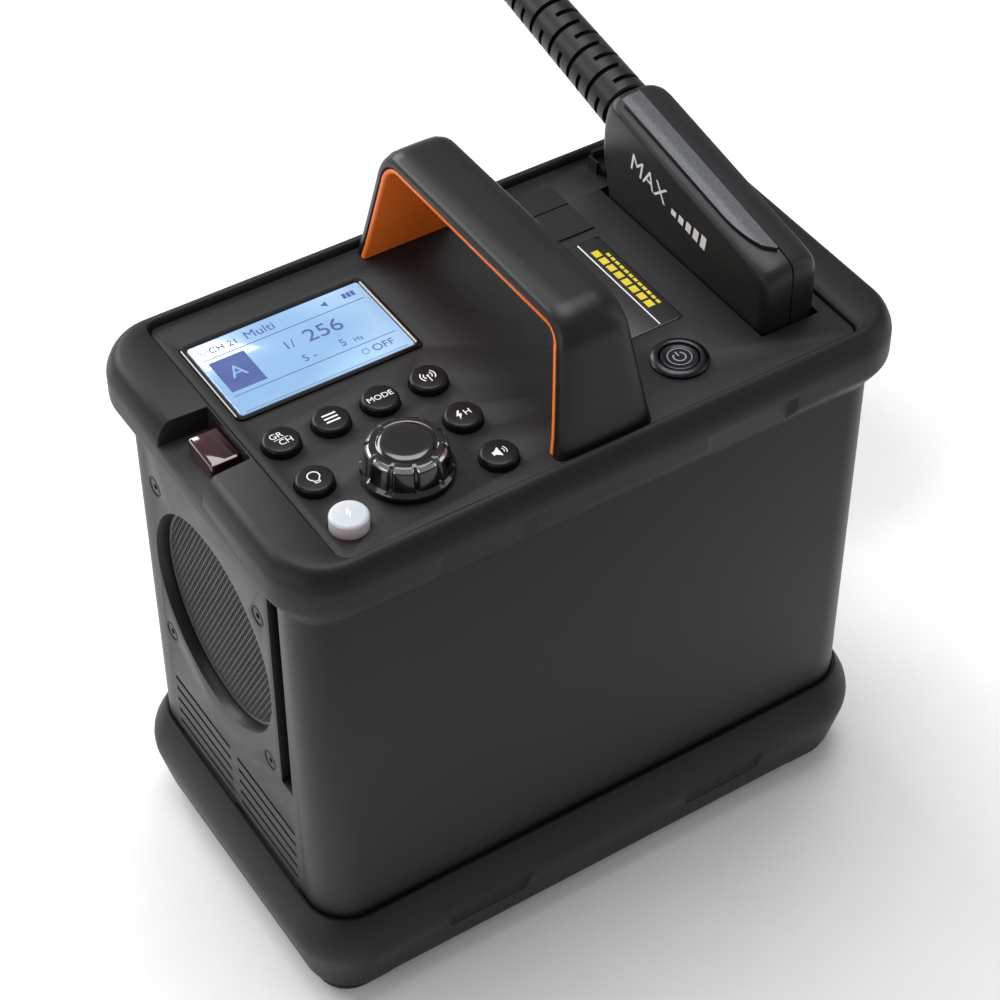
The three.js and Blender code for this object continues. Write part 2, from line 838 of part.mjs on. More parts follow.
function socketBlock() {
  const top = panelBottom - GAP;
  const bottom = batteryTop + 3.5;
  const y0 = plug.front - 5;
  const y1 = plug.back + 8;
  const reach = plug.width / 2 + 2.6;
  const body = block(plugX - reach, plugX + reach, y0, y1, bottom, top);
  const well = block(
    plugX - plug.width / 2 - 0.6,
    plugX + plug.width / 2 + 0.6,
    plug.front - 0.7,
    plug.back + 0.7,
    plugBottom,
    top + 1,
  );
  return cut(body, well);
}

// The lever that locks the plug: a tab to press and a catch, turning on one pin.
function lockLever() {
  const x0 = plugX + lever.x - lever.length / 2;
  const x1 = x0 + lever.length;
  const end = lever.y + lever.depth;
  const { y, z } = leverPivot;
  const pin = rodX(1, 1, x0 - 1.2, x1 + 1.2, y, z, 12);
  const arm = block(x0, x1, lever.y, end, z - 0.9, z + 0.9);
  const tab = block(x0, x1, end - 1.6, end, z, panelTop + 6.5);
  const hook = block(x0 + 1.5, x1 - 1.5, plug.back + 2, lever.y + 1, z - 0.9, z + 0.5);
  return join(arm, pin, tab, hook);
}

// ---------------------------------------------------------------- inside the pack
function boardPosts() {
  const xs = [powerBoard.from + 8, powerBoard.to - 8];
  const ys = [-powerBoard.half + 8, powerBoard.half - 8];
  return xs.flatMap((x) => ys.map((y) => [x, y]));
}

function controlPosts() {
  const xs = [-half.x + keys.fromLeft + keys.column / 2, handleX + 4];
  const ys = [-half.y + 6, half.y - 6];
  return xs.flatMap((x) => ys.map((y) => [x, y]));
}

function shelfFrame() {
  const y = inside.y - 1.2;
  const top = shelfTop;
  const plate = block(shelf.from, shelf.to, -y, y, top - shelf.thickness, top);
  const leg = (y0) => block(shelf.from, shelf.to, y0, y0 + shelf.leg, trayFloor + GAP, top);
  const pass = block(shelf.to - 24, shelf.to + 1, y - shelf.leg - 22, y - shelf.leg, top - 5, top + 1);
  return cut(join(plate, leg(-y), leg(y - shelf.leg)), pass);
}

function heatSink() {
  const base = shelfTop + GAP;
  const from = shelf.from + 8;
  const parts = [block(from, from + 60, -45, 45, base, base + 4)];
  for (let i = 0; i < 9; i++) {
    const y = -44 + i * 10.8;
    parts.push(block(from, from + 60, y, y + 1.8, base + 3, base + 46));
  }
  return join(...parts);
}

function controlBoard() {
  const bottom = boardTop - 1.6;
  const plate = block(-half.x + 4, handleX + 9, -half.y + 2, half.y - 2, bottom, boardTop);
  const chips = [
    block(screenAt.x - 20, screenAt.x - 6, -8, 6, bottom - 1.5, bottom + 0.5),
    block(screenAt.x + 4, screenAt.x + 26, -12, 0, bottom - 6, bottom + 0.5),
  ];
  return join(plate, ...chips);
}

function transformer() {
  const base = powerBoardTop + GAP;
  const x = powerBoard.from + 5;
  const core = block(x, x + 24, -24, 24, base, base + 34);
  const winding = block(x - 3, x + 27, -14, 14, base + 6, base + 28);
  return join(core, winding);
}

const batteryRight = outside.x - GAP;

function batteryPack() {
  const y = battery.width / 2;
  const top = batteryTop;
  const left = batteryRight - battery.length;
  const box = block(left, batteryRight, -y, y, batteryBottom, top);
  const latchSeat = block(
    batteryRight - 4,
    batteryRight + 1,
    -latch.width / 2 - GAP,
    latch.width / 2 + GAP,
    top - 8 - latch.height - latch.travel - GAP,
    top - 8 + GAP,
  );
  const low = batteryBottom + 20;
  const fingers = block(batteryRight - 12, batteryRight + 1, -30, 30, low, low + 22);
  return cut(box, latchSeat, fingers);
}

function batteryLatch() {
  const top = batteryTop - 8;
  const y = latch.width / 2;
  const pad = block(batteryRight - 4 + GAP, batteryRight + 0.6, -y, y, top - latch.height, top);
  const ridges = [0.3, 0.5, 0.7].map((share) => {
    const z = top - latch.height * share;
    return block(batteryRight + 0.3, batteryRight + 1.2, -y + 4, y - 4, z - 0.6, z + 0.6);
  });
  return join(pad, ...ridges);
}

// A round bar swept along chosen points.
function swept(points, radius, steps, sides) {
  const section = new THREE.Shape();
  for (let i = 0; i < sides; i++) {
    const angle = (i / sides) * Math.PI * 2;
    const place = [radius * Math.cos(angle), radius * Math.sin(angle)];
    if (i === 0) section.moveTo(...place);
    else section.lineTo(...place);
  }
  const route = new THREE.CatmullRomCurve3(points.map((point) => new THREE.Vector3(...point)));
  const bar = new THREE.ExtrudeGeometry(section, { steps, extrudePath: route, bevelEnabled: false });
  return toSolid(bar);
}

function outputHarness() {
  const x = shelf.to - 15;
  const y = inside.y - 15.5;
  const end = plugX - plug.width / 2 - 2.6 - GAP;
  return swept(
    [
      [x, y, powerBoardTop + GAP],
      [x, y, shelfTop - 50],
      [x, y, shelfTop + 10],
      [x, y, panelBottom - 38],
      [x + 4, y - 1.5, panelBottom - 25],
      [x + 16, y - 6, panelBottom - 18.9],
      [(x + 16 + end) / 2, y - 9, panelBottom - 18.7],
      [end, y - 10, panelBottom - 18.7],
    ],
    3.2,
    24,
    8,
  );
}

// ---------------------------------------------------------------- the head lead
// It leaves the boot, turns down and round behind the pack to a coil on the floor, and its
// other end lies beside the coil. Places are from the boot's end, and heights on the way down
// are shares of the height the boot ends at.
const leadWay = [
  [0, 1, 1.0008],
  [1.3, 14.1, 1.0053],
  [5, 27.7, 0.9989],
  [10.6, 39.8, 0.9805],
  [17.5, 50, 0.9525],
  [25, 58, 0.9178],
  [32.7, 64.2, 0.8788],
  [40.6, 69, 0.8372],
  [48.4, 72.7, 0.7937],
  [56.2, 75.4, 0.7492],
  [63.9, 77.4, 0.7038],
  [71.5, 78.7, 0.658],
  [79.1, 79.5, 0.6117],
  [86.5, 79.8, 0.5651],
  [101.3, 78, 0.473],
  [114.4, 71.6, 0.387],
  [122, 66.9, 0.34],
  [130.1, 59.7, 0.298],
  [137.5, 50, 0.2615],
  [142.9, 38.5, 0.2338],
];
const coilCentre = { x: bootEnd.x + 85.8, y: bootEnd.y + 20 };
const tail = {
  from: [-55.5, -45.8, 7],
  points: [[-66, -40.3, 9.5], [-78, -35, 12], [-90, -31.3, 13], [-100, -29.8, 13]],
  radius: 12.8,
  length: 58,
};

function headLead() {
  const points = leadWay.map(([x, y, share]) => [
    bootEnd.x + x,
    bootEnd.y + y,
    bootEnd.z * share,
  ]);
  return swept(points, cable.diameter / 2, 32, cable.sides);
}

function leadCoil() {
  const inner = (cable.coil - cable.diameter) / 2;
  const outer = (cable.coil + cable.diameter) / 2;
  const top = cable.turns * cable.diameter;
  const section = [
    [inner, 0],
    [outer, 0],
    [outer, top],
    [inner, top],
    [inner, 0],
  ].map(([radius, z]) => new THREE.Vector2(radius, z));
  const ring = new THREE.LatheGeometry(section, 32);
  ring.rotateX(Math.PI / 2);
  ring.translate(coilCentre.x, coilCentre.y, 0);
  return toSolid(ring);
}

// The connector at the lead's other end, with the short length of lead that reaches it.
function farConnector() {
  const place = ([x, y, z]) => [coilCentre.x + x, coilCentre.y + y, z];
  const bend = swept([tail.from, ...tail.points].map(place), cable.diameter / 2, 8, cable.sides);
  const [x, y, z] = place(tail.points.at(-1));
  const sleeveEnd = rodX(tail.radius - 3, tail.radius - 5, x - 14, x + 1, y, z, 16);
  const body = rodX(tail.radius, tail.radius, x - tail.length, x - 13, y, z, 20);
  return join(bend, sleeveEnd, body);
}

// ---------------------------------------------------------------- the remaining pieces
function displayBezel() {
  const x = display.length / 2;
  const y = display.depth / 2;
  const at = [screenAt.x, screenAt.y];
  const rimPlate = roundedPlate(x, y, 2.2, panelBottom - 3, panelTop + 0.8, ...at);
  const inX = x - display.frame;
  const inY = y - display.frame;
  const seat = roundedPlate(inX, inY, 1.5, panelTop - 1.2, panelTop + 2, ...at);
  const through = roundedPlate(inX - 1.2, inY - 1.2, 1, panelBottom - 4, panelTop, ...at);
  return cut(rimPlate, seat, through);
}

function displayWindow() {
  const x = display.length / 2 - display.frame - GAP;
  const y = display.depth / 2 - display.frame - GAP;
  return roundedPlate(x, y, 1.2, panelTop - 0.9, panelTop + 0.3, screenAt.x, screenAt.y);
}

function displayModule() {
  const x = display.length / 2 - 0.5;
  const y = display.depth / 2 - 0.5;
  const { x: cx, y: cy } = screenAt;
  return block(cx - x, cx + x, cy - y, cy + y, boardTop + GAP, panelBottom - 3 - GAP);
}

function powerCap() {
  const top = panelTop + 1.7;
  const bottom = panelTop - 12 + power.travel + 0.5;
  const profile = [
    [0, bottom],
    [power.cap - 1.5, bottom],
    [power.cap - 1.5, panelTop - 5],
    [power.cap, panelTop - 5],
    [power.cap, top - 0.7],
    [power.cap - 0.7, top],
    [0, top],
  ];
  return turned(profile, 24, powerAt.x, powerAt.y);
}

function encoderBody() {
  const top = panelBottom - GAP - 1;
  const { x, y } = dialAt;
  const body = block(x - 6.5, x + 6.5, y - 6.5, y + 6.5, boardTop + GAP, top);
  return cut(body, rod(dial.bore, boardTop + 2, top + 1, x, y, 16));
}

function encoderShaft() {
  const bottom = boardTop + 2 + dial.press + GAP;
  const top = panelTop + dial.stands + dial.height - 2.5 - GAP;
  return rod(dial.bore - GAP, bottom, top, dialAt.x, dialAt.y, 16);
}

function sensorWindow() {
  const right = -half.x - 2 - GAP;
  const floor = pack.rimTop - sensor.notch + GAP;
  const back = sensor.from + sensor.depth;
  return block(right - sensor.length, right, sensor.from, back, floor, floor + sensor.height);
}

function labelPlate() {
  const top = panelTop + 0.15;
  const right = labelAt.x + label.length;
  return block(labelAt.x, right, labelAt.y, labelAt.y + label.depth, top - 0.45, top);
}

function fanMesh() {
  const front = -outside.x + fan.recess + GAP;
  const back = fanFront - GAP;
  const disc = rodX(fan.opening, fan.opening, front, back, fan.y, fanZ, 32);
  const holes = [];
  const pitch = 9;
  for (let row = -4; row <= 4; row++) {
    for (let column = -4; column <= 4; column++) {
      if (Math.hypot(row, column) * pitch > fan.opening - 4) continue;
      const y = fan.y + column * pitch;
      const z = fanZ + row * pitch;
      holes.push(block(front - 1, back + 1, y - 3.4, y + 3.4, z - 3.4, z + 3.4));
    }
  }
  return cut(disc, ...holes);
}

function mainBoard() {
  const { from, to, half: y } = powerBoard;
  return block(from, to, -y, y, powerBoardBottom, powerBoardTop);
}

// ---------------------------------------------------------------- assembly
piece("top_bumper", topBumper(), black);
piece("bottom_tray", bottomTray(), black);
feet();
piece("body_sleeve", bodySleeve(), sleeveGrey);
piece("top_panel", topPanel(), darkGrey);
piece("sensor_window", sensorWindow(), red);
piece("lcd_bezel", displayBezel(), black);
piece("lcd_window", displayWindow(), screen);
piece("lcd_module", displayModule(), board);
for (const [name, [x, y]] of Object.entries(keyPlaces())) {
  const isTest = name === "key_test";
  piece(name, keyCap(x, y, key.stands + (isTest ? 2 : 0)), isTest ? white : darkGrey);
}
piece("encoder_body", encoderBody(), black);
piece("encoder_shaft", encoderShaft(), steel);
piece("dial_knob", dialKnob(), black);
piece("power_bezel", powerBezel(), satin);
piece("power_cap", powerCap(), darkGrey);
piece("handle_shell", handleShell(), darkGrey);
piece("handle_liner", handleLiner(), orange);
piece("label_plate", labelPlate(), white);
piece("port_cover", portFixed(), darkGrey);
piece("port_door", portFlap(), darkGrey);
piece("port_block", portBlock(), steel);
piece("socket_block", socketBlock(), black);
piece("lock_lever", lockLever(), black);

const plugGroup = new THREE.Group();
root.add(plugGroup);
piece("plug_shell_left", plugShell(-1), black, plugGroup);
piece("plug_shell_right", plugShell(1), darkGrey, plugGroup);
piece("plug_inlay", plugInlay(), satin, plugGroup);
piece("plug_boot", plugBoot(), black, plugGroup);

piece("fan_mesh", fanMesh(), steel);
piece("fan_frame", fanFrame(), black);
piece("fan_rotor", fanRotor(), black);
screwPlaces().forEach(([y, z], i) => piece("fan_screw_" + (i + 1), fanScrew(y, z), steel));

piece("control_board", controlBoard(), board);
piece("mid_shelf", shelfFrame(), steel);
piece("heat_sink", heatSink(), steel);
piece("power_board", mainBoard(), board);
let cans = 0;
for (const dx of [-capacitor.pitchX / 2, capacitor.pitchX / 2]) {
  for (const y of [-capacitor.pitchY / 2, capacitor.pitchY / 2]) {
    cans += 1;
    const bottom = powerBoardTop + GAP;
    const body = rod(capacitor.radius, bottom, bottom + capacitor.height, capacitor.x + dx, y, 24);
    piece("capacitor_" + cans, body, can);
  }
}
piece("transformer", transformer(), orange);
piece("battery_pack", batteryPack(), darkGrey);
piece("battery_latch", batteryLatch(), black);
piece("output_harness", outputHarness(), black);

piece("head_lead", headLead(), black);
piece("head_lead_coil", leadCoil(), black);
piece("far_connector", farConnector(), darkGrey);

export { root as default };
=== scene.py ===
# %% [markdown]
# # A power pack for studio flash heads
#
# The pack is a box that feeds a flash head through a thick lead. Its metal sleeve sits between
# two moulded bumpers, and its top is a control panel under a carry handle. The solid model
# already holds every piece at its true size and every joint. This lesson loads it as a frame
# and gives each visible piece its finer shape and its finish.

# %% Load the frame
import math

import bpy
import bmesh
from mathutils import Matrix, Vector


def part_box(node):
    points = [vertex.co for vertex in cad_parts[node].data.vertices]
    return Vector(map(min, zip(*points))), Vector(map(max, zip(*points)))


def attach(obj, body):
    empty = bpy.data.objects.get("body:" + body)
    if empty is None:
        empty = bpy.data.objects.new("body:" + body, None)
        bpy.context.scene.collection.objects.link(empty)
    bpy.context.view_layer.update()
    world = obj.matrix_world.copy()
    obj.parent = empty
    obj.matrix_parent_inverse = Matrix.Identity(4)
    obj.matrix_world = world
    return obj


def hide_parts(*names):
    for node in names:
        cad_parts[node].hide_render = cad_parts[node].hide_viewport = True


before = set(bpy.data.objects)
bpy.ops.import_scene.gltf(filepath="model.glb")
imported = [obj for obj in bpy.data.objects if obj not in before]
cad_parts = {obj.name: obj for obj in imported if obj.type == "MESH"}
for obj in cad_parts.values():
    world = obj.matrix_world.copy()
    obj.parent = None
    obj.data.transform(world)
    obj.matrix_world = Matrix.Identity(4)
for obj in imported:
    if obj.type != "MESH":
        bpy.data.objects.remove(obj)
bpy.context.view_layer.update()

scene = bpy.context.scene

# %% [markdown]
# ## The camera
#
# A long lens from well above shows the panel, the fan end and the front wall at once, as a
# catalogue view of such a pack does. The camera is placed by its direction and its distance,
# and a small shift keeps the verticals where they are while the pack sits low in the frame.

# %% Camera
azimuth, elevation = math.radians(-32.86), math.radians(42.76)
toward_camera = Vector(
    (
        math.sin(azimuth) * math.cos(elevation),
        -math.cos(azimuth) * math.cos(elevation),
        math.sin(elevation),
    )
)
across = Vector((math.cos(azimuth), math.sin(azimuth), 0))
upward = toward_camera.cross(across)

lens = bpy.data.cameras.new("camera")
lens.lens, lens.sensor_width = 96.53, 36
lens.shift_x, lens.shift_y = -0.0046, -0.0674
lens.clip_start, lens.clip_end = 0.05, 20
camera = bpy.data.objects.new("camera", lens)
scene.collection.objects.link(camera)
turn = Matrix((across, upward, toward_camera)).transposed()
camera.matrix_world = Matrix.Translation((-0.3697, -0.5736, 0.8009)) @ turn.to_4x4()
scene.camera = camera
# The plain display transform keeps black plastics black and the paper sweep near white.
scene.view_settings.view_transform = "Standard"

# %% [markdown]
# ## Making a piece
#
# Sizes here are in millimetres, as on a drawing, and become metres in one place. A piece is a
# list of points and a list of faces. It is linked to the scene, shaded smooth except at its
# real edges, given its finish, and set to ride on the body that it belongs to.

# %% Pieces from points and faces
MM = 0.001


def make_piece(name, shape, body, slot, finish, *stands_for, edge=32):
    points, faces = shape
    mesh = bpy.data.meshes.new(name)
    mesh.from_pydata([(x * MM, y * MM, z * MM) for x, y, z in points], [], faces)
    work = bmesh.new()
    work.from_mesh(mesh)
    bmesh.ops.remove_doubles(work, verts=work.verts, dist=1e-6)
    bmesh.ops.recalc_face_normals(work, faces=work.faces)
    work.to_mesh(mesh)
    work.free()
    piece = bpy.data.objects.new(name, mesh)
    scene.collection.objects.link(piece)
    mesh.materials.append(finish)
    shade(piece, edge)
    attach(piece, body)
    if stands_for:
        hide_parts(*stands_for)
    return piece


def shade(piece, edge):
    piece.data.shade_smooth()
    piece.data.set_sharp_from_angle(angle=math.radians(edge))


# %% [markdown]
# Most of the pack is made of outlines joined one to the next, which is how a moulding's
# section is drawn. `skin` joins outlines that have the same number of points. A closed row
# makes a ring, and an open row is capped at both ends. `turned` spins a profile round an axis,
# for the keys, the dial and the switch.


# %% Skins, turned shapes and flat shapes
def skin(outlines, closed=False):
    count = len(outlines[0])
    points = [point for outline in outlines for point in outline]
    bands = len(outlines) if closed else len(outlines) - 1
    faces = []
    for band in range(bands):
        low, high = band * count, (band + 1) % len(outlines) * count
        for i in range(count):
            j = (i + 1) % count
            faces.append((low + i, low + j, high + j, high + i))
    if not closed:
        faces.append(tuple(range(count))[::-1])
        faces.append(tuple(range(len(points) - count, len(points))))
    return points, faces


def turned(profile, x=0.0, y=0.0, sides=64):
    outlines = []
    for radius, z in profile:
        ring = []
        for i in range(sides):
            angle = 2 * math.pi * i / sides
            ring.append((x + radius * math.cos(angle), y + radius * math.sin(angle), z))
        outlines.append(ring)
    return skin(outlines)


def turned_ring(profile, x=0.0, y=0.0, sides=64):
    points, faces = turned(profile, x, y, sides)
    count = len(points)
    faces = faces[:-2]
    low = count - sides
    for i in range(sides):
        j = (i + 1) % sides
        faces.append((low + i, low + j, j, i))
    return points, faces


def rounded(half_x, half_y, corner, z, x=0.0, y=0.0, steps=14):
    outline = []
    centres = [(1, 1), (-1, 1), (-1, -1), (1, -1)]
    for quarter, (side_x, side_y) in enumerate(centres):
        cx, cy = x + side_x * (half_x - corner), y + side_y * (half_y - corner)
        for i in range(steps + 1):
            angle = (quarter + i / steps) * math.pi / 2
            outline.append((cx + corner * math.cos(angle), cy + corner * math.sin(angle), z))
    return outline


def prism(outline, low, high):
    return skin([[(x, y, low) for x, y in outline], [(x, y, high) for x, y in outline]])


def cuboid(x0, x1, y0, y1, z0, z1):
    return prism([(x0, y0), (x1, y0), (x1, y1), (x0, y1)], z0, z1)


def together(*shapes):
    points, faces = [], []
    for some_points, some_faces in shapes:
        start = len(points)
        points += list(some_points)
        faces += [tuple(start + i for i in face) for face in some_faces]
    return points, faces


# A shape made about Z, laid over so that Z becomes -X, for what is set into the fan end.
def facing_left(shape, x, y, z):
    points, faces = shape
    return [(x - pz, y + px, z + py) for px, py, pz in points], faces


# %% [markdown]
# Holes and recesses are cut with a Boolean, the way a mould's core leaves them, and a narrow
# bevel then breaks every sharp edge, since no moulded or milled edge is perfectly sharp. Both
# are applied to the mesh at once, so that the piece keeps one plain mesh.


# %% Cutting and breaking edges
def settle(piece):
    view = bpy.context.evaluated_depsgraph_get()
    mesh = bpy.data.meshes.new_from_object(piece.evaluated_get(view))
    old = piece.data
    piece.modifiers.clear()
    piece.data = mesh
    bpy.data.meshes.remove(old)


def carve(piece, *shapes, operation="DIFFERENCE"):
    tools = []
    for shape in shapes:
        points, faces = shape
        mesh = bpy.data.meshes.new("tool")
        mesh.from_pydata([(x * MM, y * MM, z * MM) for x, y, z in points], [], faces)
        work = bmesh.new()
        work.from_mesh(mesh)
        bmesh.ops.recalc_face_normals(work, faces=work.faces)
        work.to_mesh(mesh)
        work.free()
        tool = bpy.data.objects.new("tool", mesh)
        scene.collection.objects.link(tool)
        cut = piece.modifiers.new("cut", "BOOLEAN")
        cut.operation, cut.object, cut.solver = operation, tool, "EXACT"
        tools.append(tool)
    settle(piece)
    for tool in tools:
        bpy.data.meshes.remove(tool.data)


def break_edges(piece, width, segments=2, angle=35, edge=32):
    bevel = piece.modifiers.new("edges", "BEVEL")
    bevel.width, bevel.segments = width * MM, segments
    bevel.limit_method, bevel.angle_limit = "ANGLE", math.radians(angle)
    bevel.use_clamp_overlap = True
    settle(piece)
    shade(piece, edge)


# %% [markdown]
# ## Finishes
#
# Every finish is one Principled shader with a pattern behind it. Colours are written as the
# hex values a paint chart gives, which are sRGB, and one function turns them to the linear
# numbers that the shader needs. One function adds a node with its settings and its links.


# %% Colour and node helpers
def linear(hex_colour):
    parts = [int(hex_colour[i : i + 2], 16) / 255 for i in (1, 3, 5)]
    bright = [c / 12.92 if c <= 0.04045 else ((c + 0.055) / 1.055) ** 2.4 for c in parts]
    return (*bright, 1)


def add(tree, kind, inputs=None, **settings):
    node = tree.nodes.new(kind)
    for key, value in settings.items():
        setattr(node, key, value)
    for key, value in (inputs or {}).items():
        if isinstance(value, bpy.types.NodeSocket):
            tree.links.new(value, node.inputs[key])
        else:
            node.inputs[key].default_value = value
    return node


def per_metre(size_mm):
    return 1000 / size_mm


def new_finish(name, **sockets):
    finish = bpy.data.materials.new(name)
    finish.use_nodes = True
    tree = finish.node_tree
    shader = tree.nodes["Principled BSDF"]
    for key, value in sockets.items():
        shader.inputs[key.replace("_", " ")].default_value = value
    place = add(tree, "ShaderNodeTexCoord").outputs["Object"]
    return finish, tree, shader, place


# %% [markdown]
# Moulded plastic takes its grain from the mould, which is spark-eroded or etched. Seen close
# it is a field of tiny soft bumps, and its colour shifts very slightly over a few centimetres
# because the surface is rubbed by hands. `grained` makes that: a grain of a stated size that
# moves the surface, and a slow drift that changes the colour and the gloss.


# %% Grained surfaces
def grained(name, dark, light, grain_mm, depth_mm, rough, drift_mm=40, **sockets):
    finish, tree, shader, place = new_finish(name, **sockets)
    drift = add(
        tree, "ShaderNodeTexNoise", {"Vector": place, "Scale": per_metre(drift_mm), "Detail": 4}
    )
    grain = add(
        tree, "ShaderNodeTexNoise", {"Vector": place, "Scale": per_metre(grain_mm), "Detail": 2}
    )
    both = add(
        tree,
        "ShaderNodeMix",
        {0: 0.45, 2: drift.outputs[0], 3: grain.outputs[0]},
        data_type="FLOAT",
    )
    colour = add(tree, "ShaderNodeValToRGB", {"Fac": both.outputs[0]})
    colour.color_ramp.elements[0].position, colour.color_ramp.elements[1].position = 0.3, 0.7
    colour.color_ramp.elements[0].color = linear(dark)
    colour.color_ramp.elements[1].color = linear(light)
    gloss = add(
        tree,
        "ShaderNodeMapRange",
        {"Value": drift.outputs[0], "To Min": rough - 0.05, "To Max": rough + 0.05},
    )
    bump = add(
        tree,
        "ShaderNodeBump",
        {"Height": grain.outputs[0], "Distance": depth_mm * MM, "Strength": 0.6},
    )
    tree.links.new(colour.outputs[0], shader.inputs["Base Color"])
    tree.links.new(gloss.outputs[0], shader.inputs["Roughness"])
    tree.links.new(bump.outputs[0], shader.inputs["Normal"])
    return finish


# The bumpers are a thermoplastic elastomer over a hard core: nearly black, soft and matt.
bumper_finish = grained(
    "elastomer_moulded", "#0c0c0e", "#131315", 0.7, 0.08, 0.5, IOR=1.5, Specular_IOR_Level=0.3
)
# The sleeve is aluminium with a fine black powder coat, a little glossier than the bumpers.
sleeve_finish = grained(
    "powder_coat_black", "#0d0d0f", "#141416", 0.6, 0.05, 0.4, IOR=1.5, Specular_IOR_Level=0.3
)
# The panel is spark-textured ABS, whose coarser grain shows as a fine sparkle.
panel_finish = grained(
    "abs_spark_textured", "#0f0f11", "#1d1d20", 0.55, 0.1, 0.5, IOR=1.53, Specular_IOR_Level=0.3
)
# The handle and the plug are satin ABS, with a finer grain and a soft broad highlight.
handle_finish = grained(
    "abs_satin", "#101012", "#18181a", 0.45, 0.05, 0.38, IOR=1.53, Specular_IOR_Level=0.3
)
plug_finish = grained(
    "abs_satin_plug", "#151517", "#1f1f22", 0.5, 0.05, 0.4, IOR=1.53, Specular_IOR_Level=0.3
)
liner_finish = grained("soft_pvc_orange", "#ef6a16", "#f8832c", 0.6, 0.04, 0.42, IOR=1.5)
key_finish = grained(
    "silicone_black", "#09090a", "#101011", 0.5, 0.03, 0.35, IOR=1.43, Specular_IOR_Level=0.3
)
test_finish = grained(
    "silicone_white", "#b9bac0", "#c9cacf", 0.8, 0.03, 0.35, IOR=1.43, Subsurface_Weight=0.3
)
boot_finish = grained(
    "pvc_strain_relief", "#0d0d0f", "#161618", 0.8, 0.06, 0.4, IOR=1.52, Specular_IOR_Level=0.3
)
jacket_finish = grained(
    "cable_jacket_tpe", "#0c0c0e", "#131316", 0.7, 0.06, 0.5, IOR=1.5, Specular_IOR_Level=0.3
)
foot_finish = grained("foot_rubber", "#08080a", "#101011", 1.0, 0.1, 0.7, IOR=1.52)
dial_finish = grained(
    "abs_gloss_black", "#060607", "#0b0b0c", 3.0, 0.005, 0.17, IOR=1.53, Coat_Weight=0.5
)
mesh_finish = grained("steel_black_painted", "#2b2b2e", "#454549", 0.6, 0.02, 0.42, IOR=1.5)
label_finish = grained("label_polycarbonate", "#0a0a0b", "#0f0f11", 0.5, 0.02, 0.42, IOR=1.58)
battery_finish = grained("abs_battery_case", "#0e0e10", "#161618", 0.6, 0.08, 0.5, IOR=1.53)
board_finish = grained("board_solder_mask", "#0e3a22", "#17522f", 1.5, 0.02, 0.35, IOR=1.55)
wrap_finish = grained("transformer_tape", "#8a5a12", "#b07a20", 2.0, 0.05, 0.5, IOR=1.5)
can_finish = grained("capacitor_sleeve_pvc", "#0d1530", "#15204a", 3.0, 0.02, 0.3, IOR=1.53)

# %% [markdown]
# Metals are different: their colour is their reflection. Brushing leaves fine scratches that
# run one way, so the pattern is stretched along the brushing, and turning leaves rings. Both
# work through the surface's slope and its gloss, with metallic at one.


# %% Metals
def brushed(name, dark, light, rough, stretch, line_mm=0.35, depth_mm=0.012):
    finish, tree, shader, place = new_finish(name, Metallic=1.0)
    spread = add(tree, "ShaderNodeMapping", {"Vector": place, "Scale": stretch})
    lines = add(
        tree,
        "ShaderNodeTexNoise",
        {"Vector": spread.outputs[0], "Scale": per_metre(line_mm), "Detail": 3},
    )
    colour = add(tree, "ShaderNodeValToRGB", {"Fac": lines.outputs[0]})
    colour.color_ramp.elements[0].position, colour.color_ramp.elements[1].position = 0.3, 0.7
    colour.color_ramp.elements[0].color = linear(dark)
    colour.color_ramp.elements[1].color = linear(light)
    gloss = add(
        tree,
        "ShaderNodeMapRange",
        {"Value": lines.outputs[0], "To Min": rough - 0.06, "To Max": rough + 0.06},
    )
    bump = add(
        tree,
        "ShaderNodeBump",
        {"Height": lines.outputs[0], "Distance": depth_mm * MM, "Strength": 0.5},
    )
    tree.links.new(colour.outputs[0], shader.inputs["Base Color"])
    tree.links.new(gloss.outputs[0], shader.inputs["Roughness"])
    tree.links.new(bump.outputs[0], shader.inputs["Normal"])
    return finish


inlay_finish = brushed("aluminium_blasted_grey", "#3c3d40", "#55565a", 0.42, (1, 1, 1), 0.5, 0.05)
chamfer_finish = brushed("aluminium_diamond_cut", "#9c9da0", "#c4c5c8", 0.22, (1, 1, 0.2))
switch_finish = brushed("aluminium_anodised_black", "#2a2a2d", "#3e3e42", 0.3, (1, 1, 0.15))
steel_finish = brushed("steel_zinc_plated", "#8c8d90", "#a8a9ac", 0.35, (0.1, 1, 1))
screw_finish = brushed("screw_black_oxide", "#1c1c1e", "#2c2c2f", 0.4, (1, 1, 1))
sink_finish = brushed("aluminium_extruded", "#a2a3a6", "#bcbdc0", 0.38, (0.1, 1, 1))


# %% [markdown]
# Inks, the display and the sensor's window are smooth. Screen-printed ink is a flat colour
# with a faint edge-to-edge unevenness. The display is a lit liquid crystal panel: a pale blue
# that is a little brighter towards its middle, under clear plastic. The sensor's window is
# acrylic dyed so dark a red that it looks black where nothing shines through.


# %% Inks, display and tinted window
def printed(name, dark, light, rough=0.45):
    return grained(name, dark, light, 1.2, 0.01, rough, drift_mm=8, IOR=1.5)


white_ink = printed("ink_white", "#dcdcdc", "#f0f0f0")
grey_ink = printed("ink_grey", "#77777a", "#8c8c90")
yellow_ink = printed("ink_yellow", "#c8b414", "#dcc828")
lcd_ink = printed("lcd_segments", "#44548a", "#4f609a", 0.3)


